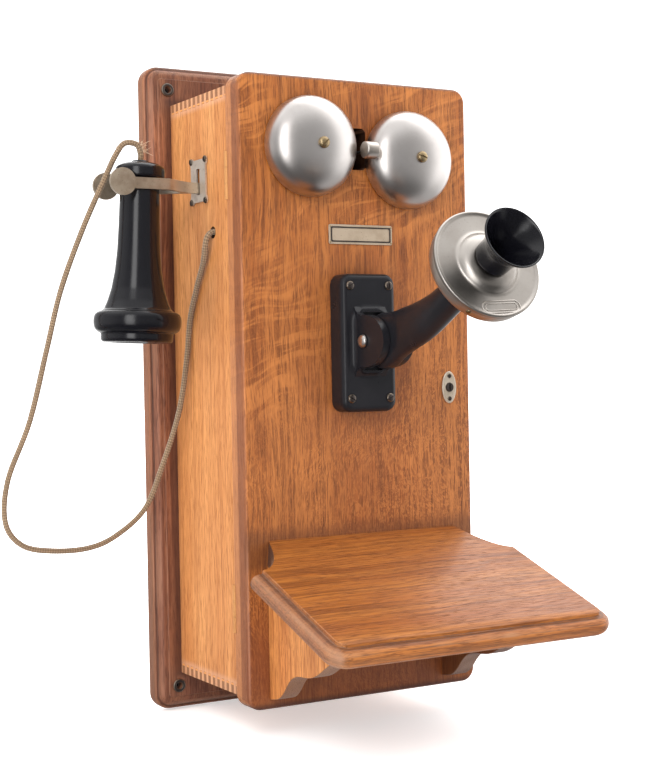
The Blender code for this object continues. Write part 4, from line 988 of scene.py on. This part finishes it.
def build_transmitter():
    place = along(FACE_CENTRE, face_axis())
    d = 14.2
    cup = [(0, -d), (32, -d), (36.5, 2 - d), (39.0, 4.8 - d), (39.4, 8 - d), (39.4, -2.1),
           (37.4, -2.1), (37.2, 6.4 - d), (34.6, 3.2 - d), (0, 2.2 - d)]
    turned("steel_cup", cup, (1.4, 4), place, 128, "dull_nickel", "transmitter",
           ["transmitter_cup"])
    face = [(9.3, 6.2), (9.3, 7.0), (13.6, 7.0), (16.5, 6.5), (19.4, 5.2), (21.6, 3.0), (22.8, 1.2),
            (24.4, 0.5), (37.3, 0.3), (38.3, 1.0), (39.4, 1.1), (40.2, 0.5), (40.3, -1.8),
            (39.0, -2.0), (24.0, -1.2), (21.4, 0.6), (18.6, 3.8), (15.8, 5.2)]
    turned("nickel_face", face, (1.5, 4), place, 160, "face", "transmitter",
           ["transmitter_face"])
    axis = face_axis()
    side = Vector((0.9986, -0.0523, 0.0))
    up = axis.cross(side)
    centre = FACE_CENTRE + side * 2.0 - up * 32.3 + axis * 0.35
    lean = side * 0.999 + up * 0.043
    rise = up * 0.999 - side * 0.043
    for name, long, tall, width in (("outer", 15.0, 4.3, 0.5), ("inner", 12.6, 2.5, 0.4)):
        track = [centre + lean * (copysign(long - tall, c) + tall * c) + rise * (tall * s)
                 for c, s in circle(72)]
        tube_piece(f"emblem_{name}", smooth_path(track + track[:1], 0.6), width,
                   "dull_nickel", "transmitter", segments=10)
    out = side * cos(radians(-122)) + up * sin(radians(-122))
    screw("cup_screw", tuple(FACE_CENTRE + out * 39.2 - axis * 5.2), tuple(out), 2.0, 0.9,
          "brass", "transmitter")
    mouth = [(5.6, 7.3), (13.2, 7.3), (13.4, 9.8), (13.4, 13.5), (13.9, 18.5), (15.4, 24.2),
             (18.2, 29.8), (21.2, 34.3), (22.3, 36.4), (22.3, 37.4), (21.2, 37.4), (19.2, 34.6),
             (15.2, 29.4), (11.2, 23.5), (8.0, 17.5), (6.2, 12.0)]
    turned("rubber_mouthpiece", mouth, (2.2, 5), place, 128, "rubber", "transmitter",
           ["mouthpiece"])


# ---------------------------------------------------------------- hook and receiver

HOOK_Y, HOOK_Z = -71.0, 156.0


def build_hook():
    z0, z1 = HOOK_Z - 4.2, HOOK_Z + 4.2
    half = [(-40, 1.7), (-108, 1.7), (-118, 8.0), (-127, 15.6), (-133, 18.5), (-160.5, 18.5),
            (-160.5, 16.1), (-134, 16.1), (-124, 9.0), (-115, 0)]
    outline = [(x, HOOK_Y + y) for x, y in half] + [(x, HOOK_Y - y) for x, y in half[-2::-1]]
    lever = to_object("hook_fork", prism(outline, 2, z0, z1))
    for sign in (-1, 1):
        combine(lever, [rod((-170, HOOK_Y + sign * 15.9, 156.6),
                            (-170, HOOK_Y + sign * 18.7, 156.6), 10.3, 64)], "UNION")
    combine(lever, [rod((-68, HOOK_Y - 5, HOOK_Z), (-68, HOOK_Y + 5, HOOK_Z), 2.3)])
    piece("hook_fork", lever, "worn", "hook", ["hook_lever"], bevel=0.5)

    w, h, ear = 14.9, 18.2, 4.6
    top = [(w - 1.7, 0), (w - 1.6, h - ear - 1.6), (w, h - ear), (w, h - 1.5), (w - 1.5, h),
           (w - ear, h), (w - ear - 1.4, h - 1.7)]
    ring = top + [(-a, b) for a, b in reversed(top)]
    ring += [(-a, -b) for a, b in top[1:]] + [(a, -b) for a, b in reversed(top[1:])]
    plate = ease([(HOOK_Y + a, 161.7 + b) for a, b in ring], 1.1, 4)
    cover = combine(to_object("hook_plate", prism(plate, 0, -100.1, -98.8)),
                    [box(-105, -90, HOOK_Y - 2.8, HOOK_Y + 2.8, 151.0, 171.2)])
    piece("hook_plate", cover, "escutcheon", "cabinet", ["hook_escutcheon"], bevel=0.3)
    for i, (a, b) in enumerate(((-12.4, 15.9), (12.4, 15.9), (-12.4, -15.9), (12.4, -15.9))):
        screw(f"hook_plate_screw_{i + 1}", (-100.0, HOOK_Y + a, 161.7 + b), (-1, 0, 0), 2.6, 1.4,
              "slot_dark", "cabinet", turn=0.5 + i * 1.3)


def receiver_place():
    return (Matrix.Translation((-148.5, HOOK_Y, 168.0)) @ Matrix.Rotation(radians(2.4), 4, "Y")
            @ Matrix.Translation((0, 0, -168.0)))


def build_receiver():
    place = receiver_place()
    shell = [(2.6, 175.0), (6.4, 175.0), (6.9, 174.2), (7.2, 173.4), (13.5, 172.6), (17.6, 170.6),
             (19.0, 168.6), (19.0, 162.8), (18.2, 161.4), (15.6, 160.9), (15.3, 159.8),
             (15.3, 146), (15.7, 126), (16.4, 107), (17.9, 91), (20.4, 77), (23.3, 67.4),
             (26.0, 61.2), (28.4, 60.0), (28.4, 53.2), (24.0, 53.2), (24.0, 60.5), (20.0, 69.5),
             (16.8, 81), (13.6, 95), (12.4, 110), (12.2, 158), (9.0, 166), (2.6, 168.5)]
    turned("rubber_shell", shell, (1.6, 4), place, 96, "rubber", "receiver",
           ["receiver_shell"])
    cap = [(28.8, 59.7), (30.6, 59.3), (32.4, 57.6), (33.3, 55.0), (33.5, 51.8), (33.1, 48.4),
           (32.0, 45.8), (30.2, 44.2), (28.4, 43.4), (27.6, 42.6), (27.6, 38.4), (26.6, 36.6),
           (24.6, 36.2), (12.0, 39.0), (6.0, 40.4), (6.0, 43.4), (20.0, 46.0), (25.0, 49.0),
           (25.0, 51.6), (28.8, 51.6)]
    turned("rubber_cap", cap, (1.3, 4), place, 96, "rubber", "receiver", ["receiver_cap"])


CORD_STEP = 0.55
CORD_ROUTE = [(-160, -69, 188), (-167, -68, 179), (-175, -66, 162), (-191, -57, 122),
              (-206, -49, 77), (-217, -45, 31), (-231, -44, -22), (-248, -42, -65),
              (-250, -40, -97), (-237, -38, -115), (-213, -35, -121.5), (-182, -32, -122),
              (-158, -31, -114), (-133, -31, -94), (-118, -33, -60), (-107, -42, -18),
              (-102.2, -48, 23), (-101.4, -54, 54), (-101.8, -68, 78), (-102.6, -84, 99),
              (-104.2, -91, 111), (-102.6, -92.5, 117.5), (-97.5, -92.5, 120.6),
              (-84.0, -92.5, 120.2)]


def build_cord():
    place = receiver_place()
    start = place @ Vector((0, 0, 175.3))
    rise = (place.to_3x3() @ Vector((0, 0, 1))).normalized()
    route = [start, start + rise * 5, start + rise * 12 + Vector((-3.0, 0.5, 0))]
    route += [Vector(p) for p in CORD_ROUTE]
    line = smooth_path(route, CORD_STEP)
    segments = 20
    total = len(line) - 1

    def swell(i, u):
        run = i * CORD_STEP
        across, ahead = u * BRAID_YARNS, run / BRAID_PITCH
        weave = sin(2 * pi * (across + ahead)) * sin(2 * pi * (across - ahead))
        lumps = noise.noise(Vector((run * 0.06, 3.1, 0.4))) * 0.05
        whip = 0.14 if total * CORD_STEP - 42 < run < total * CORD_STEP - 30 else 0.0
        return 1.0 + 0.045 * weave + lumps + whip

    rows = tube_rows(line, 2.15, segments, swell)
    cord = to_object("cloth_cord", loft(rows))
    mesh = cord.data
    layer = mesh.uv_layers.new(name="braid")
    for poly in mesh.polygons:
        if len(poly.vertices) > 4:
            continue
        columns = [v % segments for v in poly.vertices]
        wrap = max(columns) - min(columns) > segments / 2
        for loop, vertex in zip(poly.loop_indices, poly.vertices):
            column = vertex % segments
            u = (column + (segments if wrap and column == 0 else 0)) / segments
            layer.data[loop].uv = (u, (vertex // segments) * CORD_STEP * MM)
    mesh.materials.append(LOOKS["cloth"])
    mesh.shade_smooth()
    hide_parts("receiver_cord")
    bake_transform(cord)
    length = sum((b - a).length for a, b in zip(line, line[1:])) * MM
    [list(p * MM) for p in line]


def build_fray():
    """Loose cotton ends where the braid has worn through above the receiver."""
    dice = Random(5)
    place = receiver_place()
    top = place @ Vector((0, 0, 175.3))
    tufts = [(top + Vector((0.3, 0, 7.0)), Vector((0.9, -0.2, 0.35)), 15),
             (top + Vector((-0.6, 0, 11.5)), Vector((0.5, -0.3, 0.8)), 9),
             (Vector((-163.0, -68.6, 184.0)), Vector((-0.8, -0.2, 0.25)), 9)]
    bunch = bmesh.new()
    for root, heading, count in tufts:
        for _ in range(count):
            way = heading + Vector([dice.uniform(-0.8, 0.8) for _ in range(3)])
            way.normalize()
            bend = Vector((dice.uniform(-1, 1), dice.uniform(-1, 1), dice.uniform(-1.4, 0.4)))
            reach = dice.uniform(3.5, 10.0)
            begin = root + Vector([dice.uniform(-1.2, 1.2) for _ in range(3)])
            line = [begin + way * (reach * t) + bend * (reach * 0.35 * t * t)
                    for t in (i / 7 for i in range(8))]
            strand = loft(tube_rows(line, 0.20, 6, lambda i, u: 1.0 - 0.09 * i))
            mesh = bpy.data.meshes.new("strand")
            strand.to_mesh(mesh)
            bunch.from_mesh(mesh)
            bpy.data.meshes.remove(mesh)
            strand.free()
    piece("cord_fray", bunch, "thread", "receiver")


# ---------------------------------------------------------------- crank

def build_crank():
    bushing = [(6.0, 0), (11.5, 0), (11.5, 0.8), (9.6, 2.2), (6.0, 2.6)]
    turned("crank_collar", bushing, (0.4, 3), along((98.8, -80.0, 12.0), (1, 0, 0)), 64, "worn",
           "cabinet", ["crank_bushing"])


dress_kept_nodes()
add_camera()
add_studio()
add_floor()
build_backboard()
build_door()
build_shelf()
build_bells()
build_arm()
build_transmitter()
build_hook()
build_receiver()
build_cord()
build_fray()
build_crank()
